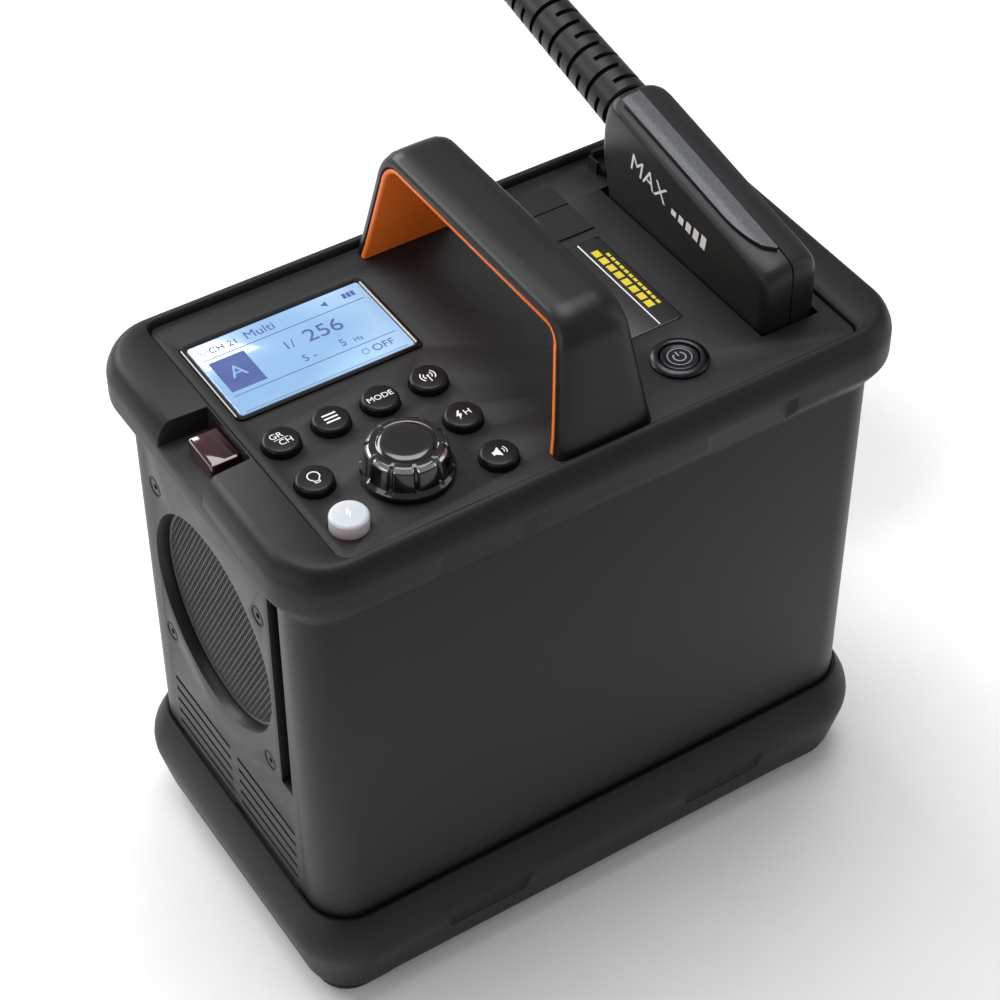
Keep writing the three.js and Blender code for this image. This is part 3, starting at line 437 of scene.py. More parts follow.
def lit_display():
    finish, tree, shader, place = new_finish(
        "lcd_backlit", Roughness=0.18, IOR=1.49, Coat_Weight=0.6, Emission_Strength=0.45
    )
    glow = add(tree, "ShaderNodeTexNoise", {"Vector": place, "Scale": per_metre(45), "Detail": 1})
    colour = add(tree, "ShaderNodeValToRGB", {"Fac": glow.outputs[0]})
    colour.color_ramp.elements[0].position, colour.color_ramp.elements[1].position = 0.35, 0.68
    colour.color_ramp.elements[0].color = linear("#7394b6")
    colour.color_ramp.elements[1].color = linear("#93b1cd")
    tree.links.new(colour.outputs[0], shader.inputs["Base Color"])
    tree.links.new(colour.outputs[0], shader.inputs["Emission Color"])
    return finish


display_finish = lit_display()
sensor_finish = grained(
    "acrylic_dark_red", "#1c0408", "#3c0a12", 6.0, 0.004, 0.1, IOR=1.49, Coat_Weight=1.0
)

# %% [markdown]
# ## The head lead
#
# The lead is a real length of stiff cable: about 2.1 metres, 11 mm thick, ending in the
# connector for the flash head. It leaves the plug's strain relief, bends over under its own
# weight, and winds down into a neat stack of turns on the floor behind the pack. Its path is
# drawn as one smooth curve, and the cable is that curve with a round section.

# %% The lead's route
boot_start = Vector((83.2, 48.8, 246.3))
boot_rise = math.radians(11.3)
boot_way = Vector((0, math.cos(boot_rise), math.sin(boot_rise)))
boot_length = 75
boot_end = boot_start + boot_way * boot_length
lead_width, coil_radius, coil_turns = 11, 60, 4
coil_centre = (boot_end.x + 85.8, boot_end.y + 20)

drop = [
    (0, -4, 0.997), (0, 1, 1.0008), (1.3, 14.1, 1.0053), (5, 27.7, 0.9989),
    (10.6, 39.8, 0.9805), (17.5, 50, 0.9525), (25, 58, 0.9178), (32.7, 64.2, 0.8788),
    (40.6, 69, 0.8372), (48.4, 72.7, 0.7937), (56.2, 75.4, 0.7492), (63.9, 77.4, 0.7038),
    (71.5, 78.7, 0.658), (79.1, 79.5, 0.6117), (86.5, 79.8, 0.5651), (101.3, 78, 0.473),
    (114.4, 71.6, 0.387), (122, 66.9, 0.34), (130.1, 59.7, 0.298), (137.5, 50, 0.2615),
    (142.9, 38.5, 0.2338),
]  # fmt: skip
route = [Vector((boot_end.x + x, boot_end.y + y, boot_end.z * share)) for x, y, share in drop]


def on_coil(degrees, radius, z):
    angle = math.radians(degrees)
    x = coil_centre[0] + radius * math.cos(angle)
    return Vector((x, coil_centre[1] + radius * math.sin(angle), z))


first, top = -26, lead_width * (coil_turns + 0.5)
route += [on_coil(4, coil_radius, top + 5.2), on_coil(-11, coil_radius, top + 1.6)]


# The lowest turn works its way outward, so that it comes out from under the turn above it.
def spread(turned_by):
    share = max(0, (turned_by + 50) / 150)
    return 9.2 * (math.sqrt(share**2 + 0.01) - 0.1) / 0.905


for step in range(coil_turns * 36 + 10):
    turned_by = step * 10
    fall = min(lead_width * turned_by / 360, lead_width * coil_turns)
    outward = spread(turned_by - 360 * coil_turns)
    route.append(on_coil(first - turned_by, coil_radius + outward, top - fall))
route += [
    Vector((coil_centre[0] + x, coil_centre[1] + y, z))
    for x, y, z in [
        (-44.7, -53.3, 5.6), (-55.5, -45.8, 7), (-66, -40.3, 9.5), (-78, -35, 12),
        (-90, -31.3, 13), (-100, -29.8, 13), (-106, -29.4, 13),
    ]
]  # fmt: skip


# %% [markdown]
# The route's points are joined by a Catmull-Rom curve, which passes through every point and
# keeps its slope continuous. It is sampled closely.


# %% The lead
def smooth_line(points, between=4):
    line = []
    for i in range(len(points) - 1):
        before = points[max(i - 1, 0)]
        a, b = points[i], points[i + 1]
        after = points[min(i + 2, len(points) - 1)]
        for step in range(between):
            t = step / between
            line.append(
                0.5
                * (
                    2 * a
                    + (b - before) * t
                    + (2 * before - 5 * a + 4 * b - after) * t**2
                    + (3 * a - before - 3 * b + after) * t**3
                )
            )
    return line + [points[-1]]


lead_line = smooth_line(route)

lead_curve = bpy.data.curves.new("head_lead_cable", "CURVE")
lead_curve.dimensions = "3D"
lead_curve.bevel_depth, lead_curve.bevel_resolution = lead_width * MM / 2, 6
lead_curve.use_fill_caps = True
spline = lead_curve.splines.new("POLY")
spline.points.add(len(lead_line) - 1)
for point, place in zip(spline.points, lead_line):
    point.co = (*(place * MM), 1)
lead_curve.materials.append(jacket_finish)
lead = bpy.data.objects.new("head_lead_cable", lead_curve)
scene.collection.objects.link(lead)
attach(lead, "pack")
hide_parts("head_lead", "head_lead_coil")

# %% [markdown]
# The far connector is a knurled metal sleeve on a plastic body, so a gloved hand can turn it.
# It lies on the floor beside the coil. It is turned about its own axis and then laid over.

# %% The far connector
far = (coil_centre[0] - 100, coil_centre[1] - 29.8, 13.0)


def knurled(profile, ribs, depth, sides=120):
    outlines = []
    for radius, z, ribbed in profile:
        ring = []
        for i in range(sides):
            angle = 2 * math.pi * i / sides
            reach = radius
            if ribbed:
                reach -= depth * (0.5 - 0.5 * math.cos(angle * ribs))
            ring.append((reach * math.cos(angle), reach * math.sin(angle), z))
        outlines.append(ring)
    return skin(outlines)


far_profile = [
    (6.2, -1, 0), (7.8, 0, 0), (9.6, 13, 0), (11.2, 14, 0), (12.4, 14.8, 0), (12.8, 16, 0),
    (12.8, 20, 0), (12.3, 20.6, 0), (12.6, 21.4, 1), (12.6, 43, 1), (12.3, 43.8, 0),
    (12.7, 44.6, 0), (12.7, 56.6, 0), (12.1, 57.6, 0), (10.6, 57.8, 0), (10.4, 46, 0),
]  # fmt: skip
far_shape = facing_left(knurled(far_profile, 24, 0.7), *far)
far_piece = make_piece(
    "far_connector_body", far_shape, "pack", "black_plastic", plug_finish, "far_connector"
)

# %% [markdown]
# ## The bumpers
#
# Two moulded rings protect the pack: one round the panel and one round the foot. Each is an
# outer section that runs round the pack, so it is drawn as outlines at rising heights. The
# panel's opening has a wider slope at the battery end, where the plug's lead leaves.

# %% Main sizes, from the solid model
PACK_X, PACK_Y, RIM_TOP = (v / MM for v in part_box("top_bumper")[1])
PANEL_X, PANEL_Y = (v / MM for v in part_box("top_panel")[1][:2])
PANEL_TOP = RIM_TOP - 2.5
CORNER = 22
print("pack half length, half width, rim height, mm:", PACK_X, PACK_Y, RIM_TOP)


def wall_outline(inset, z):
    return rounded(PACK_X - inset, PACK_Y - inset, max(CORNER - inset, 2), z)


def opening_outline(grow, corner, z, shift=0.0):
    return rounded(PANEL_X + grow + shift, PANEL_Y + grow, corner, z, x=shift)


# %% Grip recesses, with a ramp at each end
GRIP_FROM, GRIP_TO, GRIP_DEEP = 33.7, 70.1, 2.0


def grip_recesses(low, high):
    tools = []
    for side in (-1, 1):
        wall = side * PACK_Y
        floor = wall - side * GRIP_DEEP
        for end in (-1, 1):
            outline = [
                (end * (GRIP_FROM - 0.6), wall + side * 0.5),
                (end * (GRIP_FROM + 2.4), floor),
                (end * (GRIP_TO - 2.4), floor),
                (end * (GRIP_TO + 0.6), wall + side * 0.5),
            ]
            tools.append(prism(outline, low, high))
    return tools


# %% Top bumper
top_profile = [
    (6.7, 191), (5.9, 191.4), (3.6, 195), (0.9, 199.3), (0.25, 200.6), (0, 202), (0, 209.5),
    (0.1, 210.8), (0.35, 212), (1.4, 214.6), (2.1, 215.9), (2.9, 216.9), (4.2, 218.05), (5.6, 218.5),
]  # fmt: skip
top_outlines = [wall_outline(inset, z) for inset, z in top_profile]
top_outlines += [
    opening_outline(1.5, 5.5, 218.5, shift=1.5),
    opening_outline(1.0, 5.0, 218.2, shift=1.1),
    opening_outline(0.3, 4.0, 216.9),
    opening_outline(0.3, 4.0, 212.9),
    opening_outline(-2.5, 3.0, 212.9),
    opening_outline(-2.5, 3.0, 210.7),
    wall_outline(6.7, 210.7),
]
top_bumper = make_piece(
    "bumper_top", skin(top_outlines, closed=True), "pack", "black_plastic", bumper_finish,
    "top_bumper",
)  # fmt: skip
NOTCH_FRONT, NOTCH_BACK, NOTCH_FLOOR = -10.8, 18.1, 209.0
carve(
    top_bumper,
    cuboid(-113.9, -99, NOTCH_FRONT - 2, NOTCH_BACK + 2, NOTCH_FLOOR - 1.5, 210.9),
    operation="UNION",
)
notch = prism(
    [(-PACK_X - 5, NOTCH_FRONT - 1.2), (-102, NOTCH_FRONT), (-102, NOTCH_BACK),
     (-PACK_X - 5, NOTCH_BACK + 1.2)],
    NOTCH_FLOOR, RIM_TOP + 5,
)  # fmt: skip
carve(top_bumper, notch, *grip_recesses(197, 207))
break_edges(top_bumper, 0.5)
print("top bumper faces:", len(top_bumper.data.polygons))

# %% Bottom bumper, which is also the tray that carries the pack
tray_profile = [
    (6.5, 3.8), (5.9, 4.0), (5.3, 4.7), (4.6, 6.4), (1.2, 20.0), (0.6, 22.5), (0.15, 24.6),
    (0, 26.5), (0, 28.6), (0.3, 31.0), (1.1, 34.0), (2.2, 36.6), (3.6, 39.4), (5.2, 42.0),
    (6.7, 42.0), (6.7, 7.8),
]  # fmt: skip
tray = make_piece(
    "bumper_bottom", skin([wall_outline(inset, z) for inset, z in tray_profile]), "pack",
    "black_plastic", bumper_finish, "bottom_tray",
)  # fmt: skip
carve(tray, *grip_recesses(17.8, 27.8))
break_edges(tray, 0.5)
print("bottom bumper faces:", len(tray.data.polygons))

# %% [markdown]
# ## The sleeve
#
# The body between the bumpers is a bent and coated aluminium sleeve. One end is pierced for
# the fan, its four screws, two columns of louvres and a pocket for a strap, and the other end
# is open for the battery.

# %% Sleeve
OUT_X, OUT_Y, WALL = PACK_X - 7, PACK_Y - 7, 2.0
FAN_Y, FAN_Z, FAN_OPEN = 6.1, RIM_TOP - 85.2, 40.5
FACE = -OUT_X
SCREWS = [(FAN_Y + y, FAN_Z + z) for y in (-35.8, 35.8) for z in (-35.8, 35.8)]


def disc_left(radius_out, radius_in, x_out, x_in, y, z, sides=96):
    return facing_left(turned([(radius_in, x_out - x_in), (radius_out, 0)], sides=sides), x_out, y, z)


sleeve_outlines = [
    rounded(OUT_X, OUT_Y, 15, 8.1),
    rounded(OUT_X, OUT_Y, 15, 210.4),
    rounded(OUT_X - WALL, OUT_Y - WALL, 13, 210.4),
    rounded(OUT_X - WALL, OUT_Y - WALL, 13, 8.1),
]
sleeve = make_piece(
    "sleeve", skin(sleeve_outlines, closed=True), "pack", "sleeve_paint", sleeve_finish,
    "body_sleeve",
)  # fmt: skip
POCKET_FRONT, POCKET_WIDE, POCKET_LOW = FAN_Y - 50.8, 7.3, FAN_Z - 39.3
carve(
    sleeve,
    disc_left(44, 44, -112, FACE + 4, FAN_Y, FAN_Z),
    cuboid(-112, FACE + 7, POCKET_FRONT - 2.5, POCKET_FRONT + POCKET_WIDE + 2.5,
           POCKET_LOW - 2.5, 210.4),
    *[disc_left(4.5, 4.5, -112, -108.3, y, z, 32) for y, z in SCREWS],
    operation="UNION",
)  # fmt: skip
louvres = []
for row in range(6):
    middle = FAN_Z - 61.3 - row * 5.9
    for front in (-43.8, 2.8):
        louvres.append(cuboid(FACE - 1, -110.5, front, front + 41, middle - 0.9, middle + 0.9))
carve(
    sleeve,
    disc_left(FAN_OPEN + 0.4, FAN_OPEN - 1.5, FACE - 1, FACE + 5, FAN_Y, FAN_Z),
    cuboid(FACE - 1, FACE + 5, POCKET_FRONT, POCKET_FRONT + POCKET_WIDE, POCKET_LOW, 212),
    cuboid(FACE - 1, -110.5, NOTCH_FRONT - 2.3, NOTCH_BACK + 2.3, 207.2, 212),
    cuboid(110.5, OUT_X + 1, -52.8, 52.8, 46.2, 187.8),
    *[disc_left(1.9, 1.9, FACE - 1, -107, y, z, 32) for y, z in SCREWS],
    *[disc_left(4.6, 1.9, FACE - 0.4, FACE + 2.3, y, z, 32) for y, z in SCREWS],
    *louvres,
)
break_edges(sleeve, 0.35)
print("sleeve faces:", len(sleeve.data.polygons), "louvres:", len(louvres))

# %% [markdown]
# ## The fan's grille
#
# Expanded and flattened steel makes a honeycomb of thin strands. It is real geometry here,
# because light has to pass between the strands to show the fan behind. Each cell is a
# hexagonal hole, and the ridge that it shares with its neighbours stands a little proud.

# %% Grille and its ring
CELL, STRAND = 2.3, 0.62


def honeycomb(radius, x_front, thick):
    points, faces = [], []
    reach_out, reach_in = CELL / math.sqrt(3), (CELL - STRAND) / math.sqrt(3)
    count = int(radius / CELL) + 1
    for row in range(-count - 3, count + 4):
        v = row * CELL * math.sqrt(3) / 2
        for column in range(-count - 1, count + 2):
            u = CELL * (column + 0.5 * (row % 2))
            if math.hypot(u, v) > radius:
                continue
            start = len(points)
            for reach, x in ((reach_out, x_front), (reach_in, x_front + 0.22),
                             (reach_in, x_front + thick)):  # fmt: skip
                for k in range(6):
                    angle = math.radians(90 + 60 * k)
                    y = FAN_Y + u + reach * math.cos(angle)
                    points.append((x, y, FAN_Z + v + reach * math.sin(angle)))
            for k in range(6):
                j = (k + 1) % 6
                faces.append((start + k, start + j, start + 6 + j, start + 6 + k))
                faces.append((start + 6 + k, start + 6 + j, start + 12 + j, start + 12 + k))
    return points, faces


grille_ring = facing_left(
    turned_ring([(40.4, -0.8), (40.4, -0.2), (39.9, 0), (38.9, 0), (38.4, -0.3), (38.4, -0.8)]),
    FACE + 4.3, FAN_Y, FAN_Z,
)  # fmt: skip
grille = make_piece(
    "fan_grille", together(honeycomb(38.6, FACE + 4.4, 0.7), grille_ring), "pack", "steel",
    mesh_finish, "fan_mesh", edge=50,
)  # fmt: skip
print("grille faces:", len(grille.data.polygons))

# %% Countersunk screws with a hexagon socket
for index, (y, z) in enumerate(SCREWS):
    head = facing_left(
        turned([(1.6, -15.3), (1.6, -1.5), (3.0, -0.25), (3.15, -0.1), (2.9, 0)], sides=32),
        FACE + 0.2, y, z,
    )  # fmt: skip
    screw = make_piece(
        f"fan_screw_hex_{index + 1}", head, "pack", "steel", screw_finish,
        "fan_screw_" + str([0, 2, 1, 3][index] + 1),
    )  # fmt: skip
    carve(screw, facing_left(turned([(1.25, -1.1), (1.25, 1)], sides=6), FACE + 0.2, y, z))

# %% [markdown]
# ## The panel
#
# The panel drops into the upper bumper's rim. Every control sits in its own hole, and each
# hole's edge is broken slightly, which is what catches the light round a key.

# %% Places on the panel
KEY_X, KEY_Y = -PANEL_X + 10.3, -PANEL_Y + 13.5


def key_place(column, row):
    return KEY_X + column * 18.4, KEY_Y + row * 21.4


KEYS = {
    "group": key_place(0, 2), "menu": key_place(1, 2), "mode": key_place(2, 2),
    "wireless": key_place(3, 2), "sync": key_place(3, 1), "sound": key_place(3, 0),
    "lamp": key_place(0, 1), "test": key_place(0, 0),
}  # fmt: skip
DIAL = (KEY_X + 1.5 * 18.4, KEY_Y + 10.7)
screen_low, screen_high = (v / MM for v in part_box("lcd_bezel"))
SCREEN = ((screen_low.x + screen_high.x) / 2, (screen_low.y + screen_high.y) / 2)
HANDLE_X = SCREEN[0] + 35 + 5.9 + 18.6
POWER = (HANDLE_X + 18.6 + 24.1, -PANEL_Y + 21.2)
PLUG_X = boot_start.x
print("handle, power and plug along X, mm:", round(HANDLE_X, 1), round(POWER[0], 1), PLUG_X)

# %% Panel
panel_outlines = [
    rounded(PANEL_X, PANEL_Y, 4, 213.2),
    rounded(PANEL_X, PANEL_Y, 4, PANEL_TOP - 0.3),
    rounded(PANEL_X - 0.3, PANEL_Y - 0.3, 3.7, PANEL_TOP),
]
panel = make_piece(
    "panel", skin(panel_outlines), "pack", "panel_plastic", panel_finish, "top_panel"
)


def hole(radius, x, y, sides=64):
    return turned([(radius, 212), (radius, 217)], x, y, sides)


screen_hole = skin([rounded(35.3, 21.7, 2.5, z, *SCREEN) for z in (212, 217)])
carve(
    panel,
    screen_hole,
    *[hole(6.8, x, y) for x, y in KEYS.values()],
    hole(4.3, *DIAL),
    hole(8.8, *POWER),
    cuboid(PLUG_X - 11.9, PLUG_X + 11.9, -49.5, 46.6, 212, 217),
    cuboid(28.7, 57.3, 29.2, 57.7, PANEL_TOP - 1.2, 217),
    cuboid(31, 55, 31.5, 44.1, 212, 217),
    cuboid(27.2, 55.5, -26.8, 24.8, PANEL_TOP - 0.6, 217),
)
break_edges(panel, 0.25)
ears = [cuboid(x, x + 1.2, 54.2, 59.8, 214, 221) for x in (PLUG_X - 8.25, PLUG_X + 0.85)]
posts = [turned([(3, 205.3), (3, 214.2)], x, y, 24) for x in (-80.5, 2.7) for y in (-59, 59)]
fittings = make_piece(
    "panel_posts_and_ears", together(*ears, *posts), "pack", "panel_plastic", panel_finish
)
print("panel faces:", len(panel.data.polygons))

# %% [markdown]
# ## Legends
#
# Legends are screen-printed, so each is a film of ink a few hundredths of a millimetre thick.
# A stroke of ink is a line with a width, and letters come from Blender's own typeface.


# %% Strokes and letters of ink
def stroke(points, width, z, closed=False, thick=0.04):
    count = len(points)
    left, right = [], []
    for i, (x, y) in enumerate(points):
        before = points[(i - 1) % count] if closed or i > 0 else points[0]
        after = points[(i + 1) % count] if closed or i < count - 1 else points[-1]
        run = Vector((after[0] - before[0], after[1] - before[1])).normalized()
        left.append((x - run.y * width / 2, y + run.x * width / 2))
        right.append((x + run.y * width / 2, y - run.x * width / 2))
    if not closed:
        return prism(left + right[::-1], z, z + thick)
    loops = [(right, z), (left, z), (left, z + thick), (right, z + thick)]
    return skin([[(x, y, height) for x, y in loop] for loop, height in loops], closed=True)


def arc(x, y, radius, start, end, steps=24):
    angles = [math.radians(start + (end - start) * i / steps) for i in range(steps + 1)]
    return [(x + radius * math.cos(a), y + radius * math.sin(a)) for a in angles]


def letters(words, height, x, y, z, thick=0.04, wide=1.0):
    text = bpy.data.curves.new("letters", "FONT")
    text.body, text.size = words, height * 1.4
    text.align_x, text.align_y = "CENTER", "CENTER"
    text.extrude = thick / 2
    holder = bpy.data.objects.new("letters", text)
    scene.collection.objects.link(holder)
    view = bpy.context.evaluated_depsgraph_get()
    mesh = bpy.data.meshes.new_from_object(holder.evaluated_get(view))
    points = [(x + v.co.x * wide, y + v.co.y, z + thick / 2 + v.co.z) for v in mesh.vertices]
    faces = [tuple(face.vertices) for face in mesh.polygons]
    bpy.data.objects.remove(holder)
    bpy.data.meshes.remove(mesh)
    bpy.data.curves.remove(text)
    return points, faces


# %% [markdown]
# ## The keys
#
# Each key is a firm silicone cap with a flange that keeps it in its hole, and a stem that
# meets the switch below. It is a turned shape. The test key is moulded in translucent white
# silicone and stands higher, so that a finger finds it.

# %% Key caps
for name, (x, y) in KEYS.items():
    top = PANEL_TOP + (5 if name == "test" else 3)
    profile = [
        (2.2, 206.4), (2.2, 211.5), (7.2, 211.5), (7.2, 212.9), (6.5, 212.9), (6.5, top - 1.3),
        (6.42, top - 0.85), (6.15, top - 0.4), (5.7, top - 0.12), (5.1, top),
    ]  # fmt: skip
    white = name == "test"
    make_piece(
        "cap_" + name, turned(profile, x, y), f"key_{name}_body",
        "white_key" if white else "panel_plastic", test_finish if white else key_finish,
        "key_" + name,
    )  # fmt: skip
print("keys:", len(KEYS))

# %% Key legends
KEY_FACE = PANEL_TOP + 3 + 0.01


def legend(name, *shapes, finish=None):
    make_piece(
        "legend_" + name, together(*shapes), f"key_{name}_body", "white_key",
        finish or white_ink,
    )  # fmt: skip


def bolt(x, y, size, z):
    outline = [(0.15, 1), (-0.55, -0.1), (-0.1, -0.1), (-0.3, -1), (0.55, 0.2), (0.08, 0.2), (0.5, 1)]
    return prism([(x + u * size, y + v * size) for u, v in outline], z, z + 0.04)


x, y = KEYS["group"]
legend("group", letters("GR", 2.5, x - 0.9, y + 1.8, KEY_FACE), letters("CH", 2.5, x + 0.9, y - 1.8, KEY_FACE),
       stroke([(x - 2.6, y), (x + 2.6, y)], 0.25, KEY_FACE))  # fmt: skip
x, y = KEYS["menu"]
legend("menu", *[stroke([(x - 2.5, y + k), (x + 2.5, y + k)], 0.7, KEY_FACE) for k in (-1.7, 0, 1.7)])
legend("mode", letters("MODE", 2.4, *KEYS["mode"], KEY_FACE))
x, y = KEYS["wireless"]
waves = [stroke(arc(x, y + 0.4, r, a - 48, a + 48, 12), 0.38, KEY_FACE) for r in (1.5, 2.6) for a in (0, 180)]
legend("wireless", *waves, turned([(0.5, KEY_FACE), (0.5, KEY_FACE + 0.04)], x, y + 0.4, 16),
       stroke([(x, y + 0.2), (x, y - 2.6)], 0.4, KEY_FACE))  # fmt: skip
x, y = KEYS["sync"]
legend("sync", bolt(x - 1.5, y, 2.1, KEY_FACE), letters("H", 2.6, x + 1.6, y, KEY_FACE))
x, y = KEYS["sound"]
cone = prism([(x - 2.4, y - 0.8), (x - 1.5, y - 0.8), (x + 0.3, y - 2.2), (x + 0.3, y + 2.2),
              (x - 1.5, y + 0.8), (x - 2.4, y + 0.8)], KEY_FACE, KEY_FACE + 0.04)  # fmt: skip
sound = [stroke(arc(x + 0.2, y, r, -38, 38, 10), 0.3, KEY_FACE) for r in (1.5, 2.4)]
legend("sound", cone, *sound)
x, y = KEYS["lamp"]
legend("lamp", stroke(arc(x, y + 0.7, 2.0, -60, 240), 0.4, KEY_FACE),
       stroke([(x - 1.0, y - 1.1), (x - 0.8, y - 2.5), (x + 0.8, y - 2.5), (x + 1.0, y - 1.1)], 0.4, KEY_FACE),
       stroke([(x - 0.9, y - 1.7), (x + 0.9, y - 1.7)], 0.35, KEY_FACE))  # fmt: skip
x, y = KEYS["test"]
legend("test", bolt(x, y, 2.2, PANEL_TOP + 5.01), finish=white_ink)

# %% [markdown]
# ## The display
#
# A moulded bezel holds a clear window over the liquid crystal panel. Its graphics are dark
# segments on a lit ground: a channel line on top, a level in the middle, and small marks.

# %% Bezel and window
bezel_outlines = [
    rounded(35, 21.4, 2.4, 210.2, *SCREEN),
    rounded(35, 21.4, 2.4, PANEL_TOP + 0.45, *SCREEN),
    rounded(34.6, 21.0, 2.1, PANEL_TOP + 0.8, *SCREEN),
    rounded(33.7, 20.1, 1.7, PANEL_TOP + 0.8, *SCREEN),
    rounded(33.2, 19.6, 1.5, PANEL_TOP + 0.35, *SCREEN),
    rounded(33.2, 19.6, 1.5, PANEL_TOP - 1.2, *SCREEN),
    rounded(32.0, 18.4, 1.0, PANEL_TOP - 1.2, *SCREEN),
    rounded(32.0, 18.4, 1.0, 210.2, *SCREEN),
]
make_piece(
    "display_bezel", skin(bezel_outlines, closed=True), "pack", "black_plastic", dial_finish,
    "lcd_bezel",
)  # fmt: skip
window_outlines = [
    rounded(32.9, 19.3, 1.2, PANEL_TOP - 0.9, *SCREEN),
    rounded(32.9, 19.3, 1.2, PANEL_TOP + 0.15, *SCREEN),
    rounded(32.7, 19.1, 1.1, PANEL_TOP + 0.3, *SCREEN),
]
make_piece(
    "display_window", skin(window_outlines), "pack", "display", display_finish, "lcd_window"
)
GLASS = PANEL_TOP + 0.32
LEFT, RIGHT, FRONT, BACK = SCREEN[0] - 32, SCREEN[0] + 32, SCREEN[1] - 18.4, SCREEN[1] + 18.4


def across_screen(share):
    return LEFT + share * (RIGHT - LEFT)


def down_screen(share):
    return BACK - share * (BACK - FRONT)


# %% Display graphics
def bar(u0, u1, v0, v1):
    return cuboid(across_screen(u0), across_screen(u1), down_screen(v1), down_screen(v0), GLASS, GLASS + 0.03)


def words(text, height, u, v, wide=1.0):
    return letters(text, height, across_screen(u), down_screen(v), GLASS, 0.03, wide)


marks = [bar(0.02, 0.98, 0.205, 0.212), bar(0.02, 0.98, 0.765, 0.772), bar(0.02, 0.98, 0.995, 1.0)]
marks += [bar(0.885 + k * 0.026, 0.905 + k * 0.026, 0.06, 0.13) for k in range(3)]
ax, ay = across_screen(0.05), down_screen(0.1)
marks += [stroke(arc(ax, ay, r, a - 45, a + 45, 10), 0.22, GLASS, thick=0.03) for r in (0.9, 1.6) for a in (0, 180)]
marks.append(stroke([(ax, ay + 0.3), (ax, ay - 1.9)], 0.24, GLASS, thick=0.03))
sx, sy = across_screen(0.78), down_screen(0.1)
marks.append(prism([(sx - 1.6, sy - 0.5), (sx - 0.8, sy - 0.5), (sx + 0.4, sy - 1.5),
                    (sx + 0.4, sy + 1.5), (sx - 0.8, sy + 0.5), (sx - 1.6, sy + 0.5)], GLASS, GLASS + 0.03))  # fmt: skip
bx, by = across_screen(0.765), down_screen(0.88)
marks.append(stroke(arc(bx, by + 0.4, 1.2, -60, 240, 16), 0.24, GLASS, thick=0.03))
marks.append(stroke([(bx - 0.5, by - 0.9), (bx + 0.5, by - 0.9)], 0.24, GLASS, thick=0.03))
marks += [
    words("CH 21", 2.9, 0.165, 0.11), words("Multi", 4.0, 0.38, 0.1), words("1/", 4.2, 0.455, 0.42),
    words("256", 6.4, 0.665, 0.41, 1.08), words("5 -", 3.4, 0.5, 0.66), words("5", 3.6, 0.7, 0.66),
    words("Hz", 2.2, 0.785, 0.68), words("OFF", 3.4, 0.87, 0.88),
]  # fmt: skip
make_piece("display_marks", together(*marks), "pack", "display", lcd_ink)
box_mark = make_piece("display_group_box", bar(0.03, 0.235, 0.26, 0.71), "pack", "display", lcd_ink)
make_piece(
    "display_group_letter", letters("A", 6.2, across_screen(0.132), down_screen(0.485), GLASS + 0.035, 0.03),
    "pack", "display", display_finish,
)  # fmt: skip

# %% [markdown]
# ## The dial
#
# The dial is gloss-black ABS. Ten narrow grooves run down its side for the fingers, and a
# diamond-cut chamfer round its top shines where the grooves don't break it. Its outlines are
# circles with the grooves taken out.


# %% Dial
def dial_outline(radius, depth, z, sides=240, grooves=10):
    outline = []
    for i in range(sides):
        angle = 2 * math.pi * i / sides
        from_groove = math.asin(math.sin(angle * grooves / 2)) * 2 / grooves
        reach = radius - depth * math.exp(-((from_groove * radius / 0.75) ** 4))
        outline.append((DIAL[0] + reach * math.cos(angle), DIAL[1] + reach * math.sin(angle), z))
    return outline


dial_profile = [
    (14.7, 0, 217.0), (15.3, 0, 217.3), (15.5, 0, 217.8), (15.5, 0, 218.6), (15.2, 0, 219.1),
    (14.6, 0.5, 219.7), (14.35, 0.9, 220.4), (13.45, 0.9, 226.6), (13.2, 0.9, 227.25),
    (12.3, 0.9, 228.15), (11.9, 0.5, 228.3), (10.2, 0, 228.5), (9.8, 0, 228.35), (9.5, 0, 228.5),
    (9.1, 0, 228.95), (8.3, 0, 229.3), (6.5, 0, 229.45), (3, 0, 229.5),
]  # fmt: skip
dial = make_piece(
    "dial_grooved", skin([dial_outline(*row) for row in dial_profile]), "dial", "black_plastic",
    dial_finish, "dial_knob", edge=28,
)  # fmt: skip
carve(dial, turned([(3.3, 216), (3.3, 227)], *DIAL, 32))
dial.data.materials.append(chamfer_finish)
for face in dial.data.polygons:
    x, y, z = face.center / MM
    from_axis = math.hypot(x - DIAL[0], y - DIAL[1])
    if 227.3 < z < 228.1 and from_axis > 12.45:
        face.material_index = 1
shade(dial, 28)
print("dial faces:", len(dial.data.polygons))

# %% [markdown]
# ## The power switch
#
# A stainless bezel and a cap, both turned and dyed black. Turning leaves fine rings, and the
# ring and the standby sign on the cap are cut through the dye.

